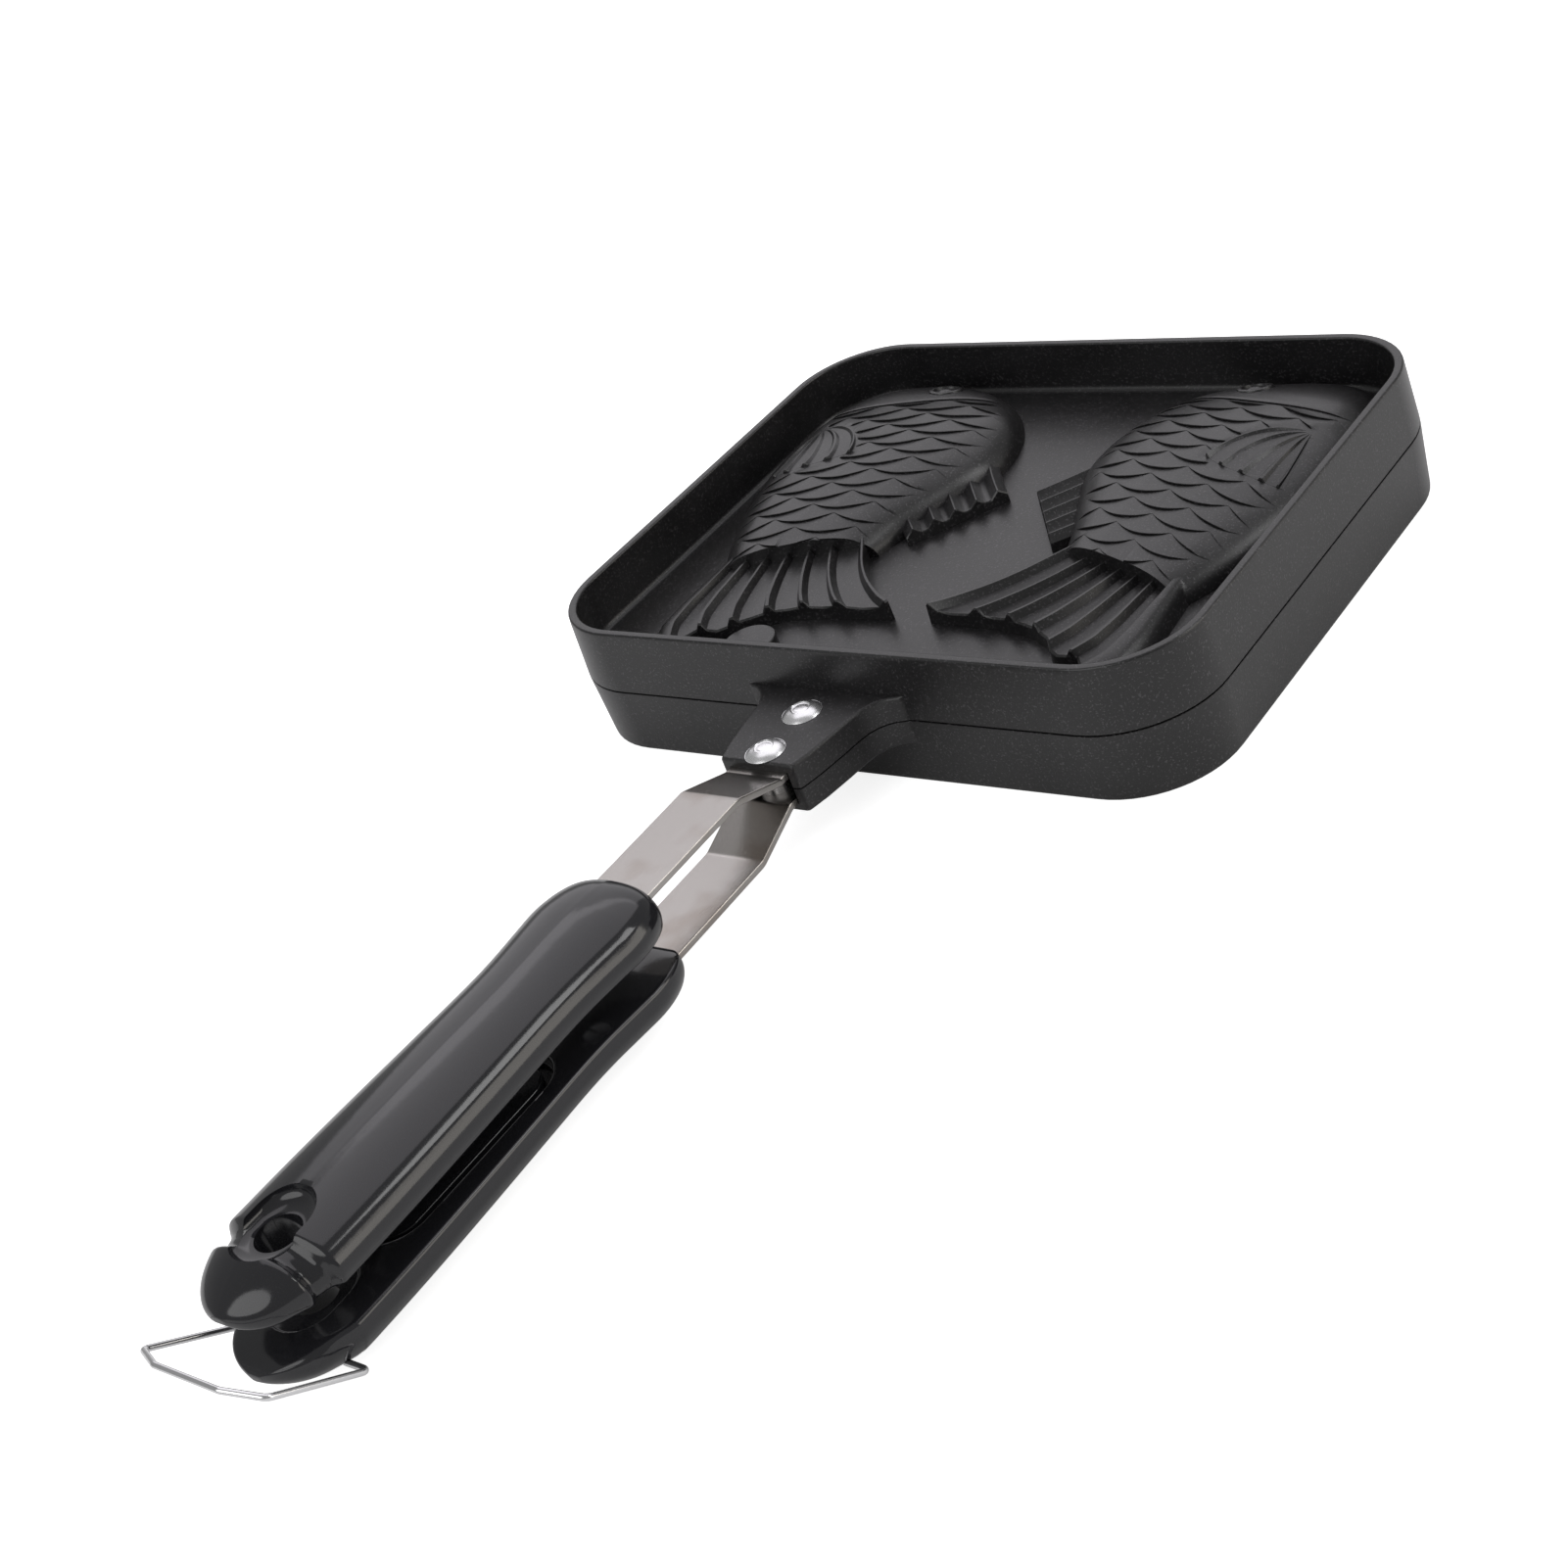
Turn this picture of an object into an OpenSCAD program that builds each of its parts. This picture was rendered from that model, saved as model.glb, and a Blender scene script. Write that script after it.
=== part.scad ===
/* [Plates] */
// Width of each baking plate at the parting line
plate_w = 155; // [150:1:175]
// Depth of each baking plate, from the handle side to the hinge side
plate_d = 125.5; // [124:0.5:140]
// Radius of the plate corners
corner_r = 21.1; // [14:0.5:26]
// Height of the upper skirt above the parting line
upper_skirt_h = 14.35; // [13.5:0.05:20]
// Height of the lower skirt, which the pan stands on
lower_skirt_h = 15.2; // [14.6:0.1:20]
// Thickness of the skirt walls
skirt_t = 2; // [1.6:0.1:3]
// How far the skirt leans in from the parting line to its rim
skirt_draft = 0.7; // [0:0.1:1.2]
// Height of the outside of the floor above the parting line
floor_z = 2; // [1.6:0.1:2.6]
// Clearance between the two closed plates
parting_gap = 0.3; // [0.2:0.05:0.6]

/* [Fish moulds] */
// Wall thickness of the fish shells
shell_t = 1.8; // [1.4:0.1:2.2]
// Sideways place of the line between the two fish
pair_x = 1.2; // [0:0.1:1.5]
// Height of the fish body above the parting line, outside
fish_h = 12; // [10:0.25:12.5]
// Height of the tail above the parting line, outside
tail_h = 6.6; // [5.6:0.1:7]
// Height of the back fin above the parting line, outside
fin_h = 5.4; // [4.8:0.1:6]
// Diameter of the round pad beside one tail
pad_d = 12; // [6:0.5:13]
// Height of the round pad above the parting line
pad_h = 4.5; // [3:0.1:6]
// Sideways place of the pad from the line between the fish
pad_x = -32.5; // [-37:0.5:-31]
// Place of the pad along the pan, from the middle of the plate
pad_y = -47; // [-50:0.5:-46]

/* [Handle tabs] */
// Half width of a tab at its tip
tab_half_w = 9.2; // [8.5:0.1:9.8]
// How far a tab stands out of the plate
tab_l = 23.9; // [23:0.1:28]
// Height of the tab above the parting line
tab_h = 5.5; // [4.8:0.1:6.5]
// Half width of the tab where it flares into the wall
flare_half_w = 21; // [20:0.5:23]

/* [Straps and rivets] */
// Width of the steel straps
strap_w = 14; // [12:0.1:15]
// Thickness of the steel straps
strap_t = 1.5; // [1:0.1:1.8]
// Height of the strap's outer face at the handle
strap_z = 8; // [7:0.1:9]
// Gap between a strap and the walls of its seat
strap_clear = 0.15; // [0.05:0.05:0.3]
// Distance of the first rivet from the plate wall
rivet_1 = 7.65; // [6.5:0.05:9]
// Distance between the two rivets of a tab
rivet_pitch = 12.8; // [10:0.1:12.9]
// Diameter of the rivet shanks
rivet_d = 4; // [3:0.1:4.5]
// Diameter of the rivet heads
rivet_head_d = 8.3; // [6.5:0.1:8.5]
// Height of the domed rivet heads
rivet_head_h = 1.3; // [1:0.1:1.8]
// Length of a strap inside its handle
tang_l = 30; // [26:0.5:34]

/* [Handles] */
// Distance from the plate wall to the front of a handle
handle_start = 66; // [64:0.5:70]
// Length of a handle
handle_l = 106; // [104:0.5:116]
// Half width of a handle at its wide places
grip_half_w = 13.9; // [13:0.1:15]
// Height of the flat inner face of a handle above the parting line
grip_in_z = 3.4; // [2.6:0.1:4]
// Height of the crown of a handle above the parting line
grip_out_z = 12.9; // [12.5:0.05:13.4]
// Diameter of the hanging hole
hang_d = 8.5; // [6:0.5:9]
// Distance of the hanging hole from the end of the handle
hang_from_end = 16; // [15:0.5:18]
// Width of the oval mouth of the hanging hole
mouth_w = 12.5; // [10:0.5:14]
// Length of the oval mouth of the hanging hole
mouth_l = 16.5; // [13:0.5:17]
// Depth of the oval mouth
mouth_depth = 2.6; // [1.5:0.1:3.2]
// Depth of the oval mouth on the inner face
inner_mouth_depth = 1.6; // [1:0.1:2]
// Width of the pocket in the inner face
pocket_w = 16; // [12:0.5:18]
// Length of the pocket in the inner face
pocket_l = 47; // [36:1:50]
// Distance from the front of a handle to the middle of the pocket
pocket_from_front = 55; // [52:0.5:57]
// Depth of the pocket
pocket_depth = 2.4; // [1:0.1:2.8]
// Distance from the front of a handle to its screw
screw_from_front = 18; // [17:0.5:20]
// Diameter of the screw that holds a handle
screw_d = 3; // [2.5:0.1:4]
// Diameter of the head of that screw
screw_head_d = 5.6; // [5:0.1:6.5]

/* [Hinge] */
// Distance of the hinge axis from the far wall
hinge_out = 6; // [5.5:0.1:8]
// Distance of each hinge from the middle
hinge_x = 42; // [30:1:50]
// Outer diameter of the knuckles
knuckle_d = 8; // [7:0.1:9]
// Length of the middle knuckle
knuckle_l = 9; // [6:0.5:14]
// Length of each outer knuckle
ear_l = 6; // [4:0.5:9]
// Gap beside each knuckle
knuckle_gap = 0.35; // [0.2:0.05:0.6]
// Diameter of the hinge pins
pin_d = 3; // [2.5:0.1:4]
// Clearance round the hinge pins
pin_clear = 0.06; // [0.02:0.01:0.1]
// Diameter of the pin heads
pin_head_d = 5.4; // [4.5:0.1:6.5]
// Thickness of the pin heads
head_t = 1.3; // [1:0.1:2]
// Thickness of the retainer rings
retainer_t = 0.8; // [0.6:0.1:1.2]

/* [Wire latch] */
// Diameter of the latch wire
wire_d = 1.2; // [1:0.1:1.6]
// Distance of the latch pivot from the end of the handle
latch_from_end = 10; // [9:0.5:11]
// Depth of the latch pivot under the parting line
latch_pivot_z = 9.9; // [9.5:0.1:10.4]
// Height of the wire's cross bar above the parting line when closed
latch_bar_z = 13.3; // [13.2:0.05:13.6]
// How far the closed cross bar leans towards the plates
latch_lean = 2.2; // [1.5:0.1:3]
// Half length of the flat part of the cross bar
latch_bar_half = 8; // [7.5:0.5:9]
// How far the wire's shoulders lie below its cross bar
latch_shoulder = 3.2; // [3:0.1:3.3]
// Length of the groove for the wire, along the handle
groove_l = 5.2; // [4.6:0.1:6]
// Clearance under the wire in its groove
groove_clear = 1.2; // [1.1:0.05:1.4]
// Clearance between the latch legs and the sides of the handles
latch_side_gap = 0.8; // [0.5:0.1:1.5]
// Angle by which the stored latch stands behind its closed place
latch_open_deg = 60; // [45:1:75]

/* [Hidden] */
$fn = 48;
face_z = parting_gap / 2;
front_y = -plate_d / 2;
tab_tip_y = front_y - tab_l;
grip_y0 = front_y - handle_start;
grip_y1 = grip_y0 - handle_l;
hinge_y = plate_d / 2 + hinge_out;
hang_y = grip_y1 + hang_from_end;
pivot_y = grip_y1 + latch_from_end;
bar_y = pivot_y + latch_lean;
latch_r = norm([latch_lean, latch_bar_z + latch_pivot_z]);
bar_angle = atan2(latch_lean, latch_bar_z + latch_pivot_z);
stored_angle = latch_open_deg - bar_angle;
stored_bar_y = pivot_y - latch_r * sin(stored_angle);
leg_x = grip_half_w + latch_side_gap + wire_d / 2;
latch_side_way = [0, 1, -latch_lean / (latch_bar_z + latch_pivot_z)];
seat_z = tab_h - 1.8;
screw_y = grip_y0 - screw_from_front;
leaf_half = knuckle_l / 2 + knuckle_gap + ear_l;
base_drop = lower_skirt_h;
model_y0 = stored_bar_y - wire_d / 2;
model_y1 = hinge_y + knuckle_d / 2;
shift_y = -(model_y0 + model_y1) / 2;

// Fish body, head first: [y, inner edge, outer edge, share of the height, slant of the section]
fish_rows = [
    [59.0, 41.0, 57.5, 0.26, 0],
    [56.5, 34.0, 62.0, 0.43, 0],
    [52.5, 27.5, 66.0, 0.61, 0],
    [47.5, 21.0, 69.0, 0.77, 0],
    [39.5, 15.4, 71.5, 0.91, 0],
    [31.5, 12.4, 72.6, 0.98, 0],
    [22.0, 11.6, 72.6, 1.00, -0.04],
    [14.0, 12.6, 71.3, 0.98, -0.10],
    [6.0, 15.2, 68.8, 0.94, -0.17],
    [-2.0, 18.0, 65.5, 0.88, -0.25],
    [-10.0, 21.2, 61.5, 0.80, -0.33],
    [-17.0, 23.4, 57.8, 0.70, -0.39]
];
fish_mid_y = 21;
fish_half_l = 38;
// Tail outline and the tips of its folded rays
tail_edge = [[27, -9], [18.5, -22.5], [9.5, -30.2], [4.8, -32.6], [5.6, -34.6], [22.5, -34.8], [30.5, -36.2],
             [37.5, -40], [41.2, -45], [48, -45.8], [50.5, -50.3], [57, -51.3], [61, -45], [58.5, -20], [42, -12]];
ray_tips = [[7, -33.6], [17.5, -33.8], [26, -34.6], [33.5, -37.2], [39.6, -42.4], [46.2, -45.2], [54.5, -50.4]];
ray_root_in = [29, -14.5];
ray_root_out = [55, -22];
tail_hollow = [[28, -13], [20.2, -23.5], [12.5, -30.6], [13, -32.6], [22.5, -33], [30, -34.4], [36.3, -38.2],
               [39.8, -43], [47, -44], [51.3, -48.6], [56, -49.5], [59, -44.5], [56.5, -22], [42, -14]];
fin_edge = [[14, 27], [9.3, 19.6], [3.8, 13.2], [18.3, -6], [28, 4]];
fin_tips = [[4.8, 12.4], [8.1, 8.1], [11.3, 3.9], [14.5, -0.3], [17.5, -4.3]];
fin_root = [[15.5, 24], [17.8, 18.8], [19.8, 13.8], [21.6, 8.8], [23.4, 3.8]];
fin_hollow = [[14, 22], [7.8, 13], [18, -1.8], [26, 4]];

// Handle sections, front first: [share of the length, share of the width, inner face lift, crown drop]
grip_rows = [
    [0.000, 0.56, 1.60, 4.20],
    [0.010, 0.69, 0.90, 2.80],
    [0.032, 0.83, 0.35, 1.50],
    [0.062, 0.93, 0.10, 0.75],
    [0.100, 0.98, 0.00, 0.35],
    [0.159, 0.955, 0.00, 0.35],
    [0.232, 0.905, 0.00, 0.55],
    [0.305, 0.90, 0.00, 0.60],
    [0.429, 0.93, 0.00, 0.45],
    [0.585, 0.97, 0.00, 0.20],
    [0.720, 1.00, 0.00, 0.05],
    [0.855, 0.99, 0.00, 0.00],
    [0.890, 0.95, 0.00, 0.15],
    [0.919, 0.90, 0.05, 0.50],
    [0.953, 0.80, 0.40, 1.30],
    [0.981, 0.60, 1.15, 2.55],
    [1.000, 0.30, 2.50, 4.40]
];

// Stands the pan on its lower rim, with the middle of its outline over the origin
module stand() {
    translate([0, shift_y, base_drop]) children();
}

// Turns a piece of the upper half into its twin below the parting line
module below() {
    mirror([0, 0, 1]) children();
}

// Joins equal rings of points into one closed solid
module skin(rings) {
    n = len(rings[0]);
    m = len(rings);
    pts = [for (ring = rings) each ring];
    sides = [for (i = [0 : m - 2], j = [0 : n - 1])
             let (a = i * n + j, b = i * n + (j + 1) % n)
             each [[a, b + n, b], [a, a + n, b + n]]];
    first = [for (j = [1 : n - 2]) [0, j, j + 1]];
    last = [for (j = [1 : n - 2]) let (k = (m - 1) * n) [k, k + j + 1, k + j]];
    polyhedron(points = pts, faces = [each sides, each first, each last], convexity = 6);
}

function signed_pow(v, p) = sign(v) * pow(abs(v), p);

// One arched ring of the fish body, set in by a wall and standing on base_z
function fish_ring(row, inset, base_z, top_z, arc) =
    let (y = fish_mid_y + (row[0] - fish_mid_y) * (1 - inset / fish_half_l),
         mid = (row[1] + row[2]) / 2,
         half = (row[2] - row[1]) / 2 - inset,
         rise = (top_z - base_z) * row[3])
    [for (k = [0 : arc])
        let (a = 180 * k / arc,
             x = half * signed_pow(cos(a), 0.8))
        [mid + x, y + row[4] * x, base_z + rise * pow(sin(a), 0.8)]];

module fish_body(inset, base_z, top_z, arc) {
    skin([for (row = fish_rows) fish_ring(row, inset, base_z, top_z, arc)]);
}

// A ridge with a pointed section from one point to another, standing on low_z
module ridge(from, to, half, low_z, top_z) {
    run = norm(to - from);
    translate([from[0], from[1], 0])
        rotate([0, 0, atan2(to[1] - from[1], to[0] - from[0])])
            rotate([90, 0, 90])
                linear_extrude(run)
                    polygon([[-half, low_z], [half, low_z], [0, top_z]]);
}

module fish_tail() {
    translate([0, 0, floor_z - 1]) linear_extrude(tail_h - 1.8 - floor_z + 1) polygon(tail_edge);
    for (i = [0 : len(ray_tips) - 1]) {
        share = i / (len(ray_tips) - 1);
        ridge(ray_root_in * (1 - share) + ray_root_out * share, ray_tips[i], 3, tail_h - 2.8, tail_h);
    }
}

module fish_fin() {
    translate([0, 0, floor_z - 1]) linear_extrude(fin_h - 0.9 - floor_z + 1) polygon(fin_edge);
    for (i = [0 : len(fin_tips) - 1])
        ridge(fin_root[i], fin_tips[i], 1.9, floor_z, fin_h);
}

module fish_outside() {
    fish_body(0, face_z + 0.5, fish_h, 16);
    fish_tail();
    fish_fin();
}

// The hollow that the batter fills
module fish_hollow() {
    fish_body(shell_t, face_z - 1, fish_h - shell_t, 16);
    translate([0, 0, face_z - 1])
        linear_extrude(tail_h - 1.8 - shell_t - face_z + 1)
            polygon(tail_hollow);
    translate([0, 0, face_z - 1])
        linear_extrude(fin_h - 0.9 - shell_t - face_z + 1)
            polygon(fin_hollow);
}

module both_fish() {
    translate([pair_x, 0, 0]) {
        children();
        mirror([1, 0, 0]) children();
    }
}

// Wall section with its foot on the parting line and its outer foot at x = 0
module skirt_section(h) {
    polygon([[-skirt_t, face_z], [0, face_z], [-skirt_draft, h], [-skirt_draft - skirt_t, h]]);
}

module skirt(h) {
    half_x = plate_w / 2 - corner_r;
    half_y = plate_d / 2 - corner_r;
    for (sx = [0, 1], sy = [0, 1])
        mirror([sx, 0, 0]) mirror([0, sy, 0])
            translate([half_x, half_y, 0])
                rotate_extrude(angle = 90) translate([corner_r, 0]) skirt_section(h);
    for (sx = [0, 1])
        mirror([sx, 0, 0])
            translate([plate_w / 2, half_y, 0]) rotate([90, 0, 0])
                linear_extrude(2 * half_y) skirt_section(h);
    for (sy = [0, 1])
        mirror([0, sy, 0])
            translate([-half_x, plate_d / 2, 0]) rotate([90, 0, 90])
                linear_extrude(2 * half_x) skirt_section(h);
}

module floor_slab() {
    edge = skirt_t / 2;
    r = corner_r - edge;
    half_x = plate_w / 2 - corner_r;
    half_y = plate_d / 2 - corner_r;
    translate([-half_x - r, -half_y, face_z]) cube([2 * (half_x + r), 2 * half_y, floor_z - face_z]);
    translate([-half_x, -half_y - r, face_z]) cube([2 * half_x, 2 * (half_y + r), floor_z - face_z]);
    for (sx = [-1, 1], sy = [-1, 1])
        translate([sx * half_x, sy * half_y, face_z]) cylinder(r = r, h = floor_z - face_z);
}

// The cast tab that the strap is riveted into
module tab() {
    w = tab_half_w;
    l = tab_l;
    half = [[flare_half_w, 1.2], [flare_half_w - 2.8, -0.5], [flare_half_w - 5.4, -1.6], [w + 4.7, -3.1],
            [w + 3.6, -5.2], [w + 2.8, -8.4], [w + 2.2, -12.3], [w + 1.1, -18.8], [w - 0.3, -l + 0.5], [w - 1, -l]];
    other = [for (i = [len(half) - 1 : -1 : 0]) [-half[i][0], half[i][1]]];
    translate([0, front_y, face_z]) linear_extrude(tab_h - face_z) polygon([each half, each other]);
}

module tab_cuts() {
    seat_w = strap_w + 2 * strap_clear;
    translate([-seat_w / 2, tab_tip_y - 1, face_z - 1]) cube([seat_w, tab_l - 0.5, seat_z - face_z + 1]);
    for (i = [0, 1])
        translate([0, front_y - rivet_1 - i * rivet_pitch, 0]) cylinder(d = rivet_d, h = tab_h + 1);
}

// Hinge leaf on one plate: a barrel from x0 to x1 with its arm to the wall
module knuckle(x0, x1) {
    translate([x0, hinge_y, 0]) rotate([0, 90, 0]) cylinder(d = knuckle_d, h = x1 - x0);
    translate([x0, plate_d / 2 - skirt_t / 2, face_z])
        cube([x1 - x0, hinge_out + skirt_t / 2, knuckle_d / 2 - face_z]);
}

module pin_bore() {
    translate([-plate_w / 2, hinge_y, 0]) rotate([0, 90, 0]) cylinder(d = pin_d + 2 * pin_clear, h = plate_w);
}

module half_casting(h) {
    difference() {
        union() {
            skirt(h);
            floor_slab();
            both_fish() fish_outside();
            tab();
            translate([pair_x + pad_x, pad_y, face_z]) cylinder(d = pad_d, h = pad_h - face_z);
            children();
        }
        both_fish() fish_hollow();
        tab_cuts();
        pin_bore();
    }
}

module upper_plate() {
    color("#3a3a3c") stand()
        half_casting(upper_skirt_h)
            for (s = [-1, 1])
                knuckle(s * hinge_x - knuckle_l / 2, s * hinge_x + knuckle_l / 2);
}

module lower_plate() {
    start = knuckle_l / 2 + knuckle_gap;
    color("#343436") stand() below()
        half_casting(lower_skirt_h)
            for (s = [-1, 1], e = [-1, 1])
                knuckle(s * hinge_x + e * (start + ear_l / 2) - ear_l / 2,
                        s * hinge_x + e * (start + ear_l / 2) + ear_l / 2);
}

// Side view of a strap: flat in the tab, a ramp, then flat into the handle
module strap() {
    top = seat_z;
    bottom = seat_z - strap_t;
    end_y = front_y - 1.5 - strap_clear;
    bend_1 = tab_tip_y - 1.5;
    bend_2 = bend_1 - 12.5;
    tang_end = grip_y0 - tang_l;
    difference() {
        translate([-strap_w / 2, 0, 0]) rotate([90, 0, 90])
            linear_extrude(strap_w)
                polygon([[end_y, bottom], [end_y, top], [bend_1, top], [bend_2, strap_z], [tang_end, strap_z],
                         [tang_end, strap_z - strap_t], [bend_2 + 0.4, strap_z - strap_t], [bend_1 + 0.4, bottom]]);
        for (i = [0, 1])
            translate([0, front_y - rivet_1 - i * rivet_pitch, 0]) cylinder(d = rivet_d, h = strap_z + 1);
        translate([0, screw_y, 0]) cylinder(d = screw_d, h = strap_z + 1);
    }
}

module upper_strap() {
    color("#c4bdb6") stand() strap();
}

module lower_strap() {
    color("#c4bdb6") stand() below() strap();
}

// A rivet with a domed, dimpled head outside and a low closing head inside
module rivet(y) {
    inner_h = seat_z - strap_t - face_z - 0.2;
    dome_r = (pow(rivet_head_d / 2, 2) + pow(rivet_head_h, 2)) / (2 * rivet_head_h);
    translate([0, y, 0]) difference() {
        union() {
            translate([0, 0, face_z + 0.2]) cylinder(d = rivet_head_d - 0.8, h = inner_h);
            translate([0, 0, face_z + 0.2]) cylinder(d = rivet_d, h = tab_h - face_z);
            intersection() {
                translate([0, 0, tab_h + rivet_head_h - dome_r]) sphere(r = dome_r);
                translate([0, 0, tab_h]) cylinder(d = rivet_head_d + 1, h = rivet_head_h + 1);
            }
        }
        translate([0, 0, tab_h + rivet_head_h + 0.9]) sphere(d = 2.6);
    }
}

module upper_front_rivet() {
    color("#d9d9dc") stand() rivet(front_y - rivet_1);
}

module upper_rear_rivet() {
    color("#d9d9dc") stand() rivet(front_y - rivet_1 - rivet_pitch);
}

module lower_front_rivet() {
    color("#d9d9dc") stand() below() rivet(front_y - rivet_1);
}

module lower_rear_rivet() {
    color("#d9d9dc") stand() below() rivet(front_y - rivet_1 - rivet_pitch);
}

// One ring of the handle: flat inside, upright sides, low crown outside
function grip_ring(row) =
    let (y = grip_y0 - row[0] * handle_l,
         hw = grip_half_w * row[1],
         z0 = grip_in_z + row[2],
         z1 = grip_out_z - row[3],
         zc = z0 + (z1 - z0) * 0.36)
    [for (k = [0 : 27])
        let (a = 360 * (k + 0.5) / 28,
             x = hw * signed_pow(cos(a), sin(a) >= 0 ? 0.66 : 0.5),
             up = sin(a) >= 0 ? (z1 - zc) * pow(sin(a), 0.9) : (z0 - zc) * pow(-sin(a), 0.42))
        [x, y, zc + up]];

module oval(w, l, h) {
    run = (l - w) / 2;
    for (s = [-1, 1]) translate([0, s * run, 0]) cylinder(d = w, h = h);
    translate([-w / 2, -run, 0]) cube([w, 2 * run, h]);
}

module grip() {
    reach = grip_in_z + grip_out_z;
    difference() {
        skin([for (row = grip_rows) grip_ring(row)]);
        translate([-strap_w / 2 - 0.1, grip_y0 - tang_l - 0.1, strap_z - strap_t - 0.1])
            cube([strap_w + 0.2, tang_l + 2, strap_t + 0.2]);
        translate([0, screw_y, 0]) cylinder(d = screw_d, h = strap_z + 2.5);
        translate([0, screw_y, 0]) cylinder(d = screw_head_d + 0.4, h = grip_in_z + 1.9);
        translate([0, hang_y, 0]) cylinder(d = hang_d, h = reach);
        translate([0, hang_y, grip_out_z - mouth_depth]) oval(mouth_w, mouth_l, mouth_depth + 1);
        translate([0, hang_y, 0]) oval(mouth_w, mouth_l, grip_in_z + inner_mouth_depth);
        translate([0, grip_y0 - pocket_from_front, 0]) oval(pocket_w, pocket_l, grip_in_z + pocket_depth);
        translate([-leg_x, bar_y - groove_l / 2, latch_bar_z - wire_d / 2 - groove_clear])
            cube([2 * leg_x, groove_l, groove_clear + grip_in_z]);
    }
}

module upper_handle() {
    color("#1c1c1e") stand() grip();
}

module lower_handle() {
    color("#1c1c1e") stand() difference() {
        below() grip();
        for (s = [-1, 1])
            translate([s * 9, pivot_y, -latch_pivot_z]) rotate([0, s * 90, 0])
                cylinder(d = wire_d + 0.16, h = 12);
    }
}

module handle_screw() {
    translate([0, screw_y, grip_in_z + 0.3]) difference() {
        union() {
            cylinder(d = screw_head_d, h = 1.6);
            cylinder(d = screw_d, h = strap_z + 2 - grip_in_z);
        }
        translate([-screw_head_d, -0.4, -1]) cube([2 * screw_head_d, 0.8, 1.8]);
    }
}

module upper_handle_screw() {
    color("#b8b8bc") stand() handle_screw();
}

module lower_handle_screw() {
    color("#b8b8bc") stand() below() handle_screw();
}

// A headed pin that passes the three knuckles of one hinge; out is +1 or -1
module hinge_pin(out) {
    translate([out * hinge_x, hinge_y, 0]) rotate([0, out * 90, 0]) {
        translate([0, 0, -leaf_half - retainer_t - 1]) cylinder(d = pin_d, h = 2 * leaf_half + retainer_t + 1.2);
        translate([0, 0, leaf_half + 0.1]) cylinder(d = pin_head_d, h = head_t);
    }
}

module pin_retainer(out) {
    translate([out * hinge_x, hinge_y, 0]) rotate([0, out * 90, 0])
        translate([0, 0, -leaf_half - 0.1 - retainer_t]) difference() {
            cylinder(d = pin_head_d + 0.6, h = retainer_t);
            translate([0, 0, -1]) cylinder(d = pin_d, h = retainer_t + 2);
        }
}

module left_hinge_pin() {
    color("#c9c9cc") stand() hinge_pin(-1);
}

module right_hinge_pin() {
    color("#c9c9cc") stand() hinge_pin(1);
}

module left_pin_retainer() {
    color("#9a9a9e") stand() pin_retainer(-1);
}

module right_pin_retainer() {
    color("#9a9a9e") stand() pin_retainer(1);
}

// Points of a rounded bend between two straight stretches
function bend(a, b, c, r, n) =
    let (u = (a - b) / norm(a - b),
         v = (c - b) / norm(c - b),
         half = acos(u * v) / 2,
         mid = (u + v) / norm(u + v),
         hub = b + mid * r / sin(half),
         from = b + u * r / tan(half) - hub,
         to = b + v * r / tan(half) - hub,
         turn = 180 - 2 * half)
    [for (i = [0 : n]) hub + (from * sin(turn * (1 - i / n)) + to * sin(turn * i / n)) / sin(turn)];

// One ring of the wire, square to the way that the wire runs there
function wire_ring(path, i, sides) =
    let (last = len(path) - 1,
         way = path[min(i + 1, last)] - path[max(i - 1, 0)],
         f = way / norm(way),
         side = cross(f, latch_side_way),
         s = side / norm(side),
         t = cross(f, s))
    [for (k = [0 : sides - 1])
        let (a = 360 * k / sides)
        path[i] + (s * cos(a) + t * sin(a)) * wire_d / 2];

module wire_latch() {
    rise = latch_bar_z + latch_pivot_z;
    shoulder_z = rise - latch_shoulder;
    shoulder_y = latch_lean * shoulder_z / rise;
    foot = [leg_x, 0, 0];
    shoulder = [leg_x, shoulder_y, shoulder_z];
    corner = [latch_bar_half, latch_lean, rise];
    half = [[leg_x - 2.4, 0, 0],
            each bend([0, 0, 0], foot, shoulder, 1.6, 5),
            each bend(foot, shoulder, corner, 2, 3),
            each bend(shoulder, corner, [0, latch_lean, rise], 2, 3)];
    other = [for (i = [len(half) - 1 : -1 : 0]) [-half[i][0], half[i][1], half[i][2]]];
    path = [each half, each other];
    color("#cfcfd2") stand()
        translate([0, pivot_y, -latch_pivot_z]) rotate([latch_open_deg, 0, 0]) {
            skin([for (i = [0 : len(path) - 1]) wire_ring(path, i, 10)]);
            for (s = [-1, 1])
                translate([s * 9.6, 0, 0]) rotate([0, s * 90, 0]) cylinder(d = wire_d + 0.04, h = leg_x - 11.9);
        }
}

upper_plate();
lower_plate();
upper_strap();
lower_strap();
upper_front_rivet();
upper_rear_rivet();
lower_front_rivet();
lower_rear_rivet();
upper_handle();
lower_handle();
upper_handle_screw();
lower_handle_screw();
left_hinge_pin();
right_hinge_pin();
left_pin_retainer();
right_pin_retainer();
wire_latch();
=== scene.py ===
from math import cos, pi, radians, sin

import bmesh
import bpy
import numpy as np
from bpy.props import FloatProperty, FloatVectorProperty, IntProperty, PointerProperty
from mathutils import Matrix, Vector


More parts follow.
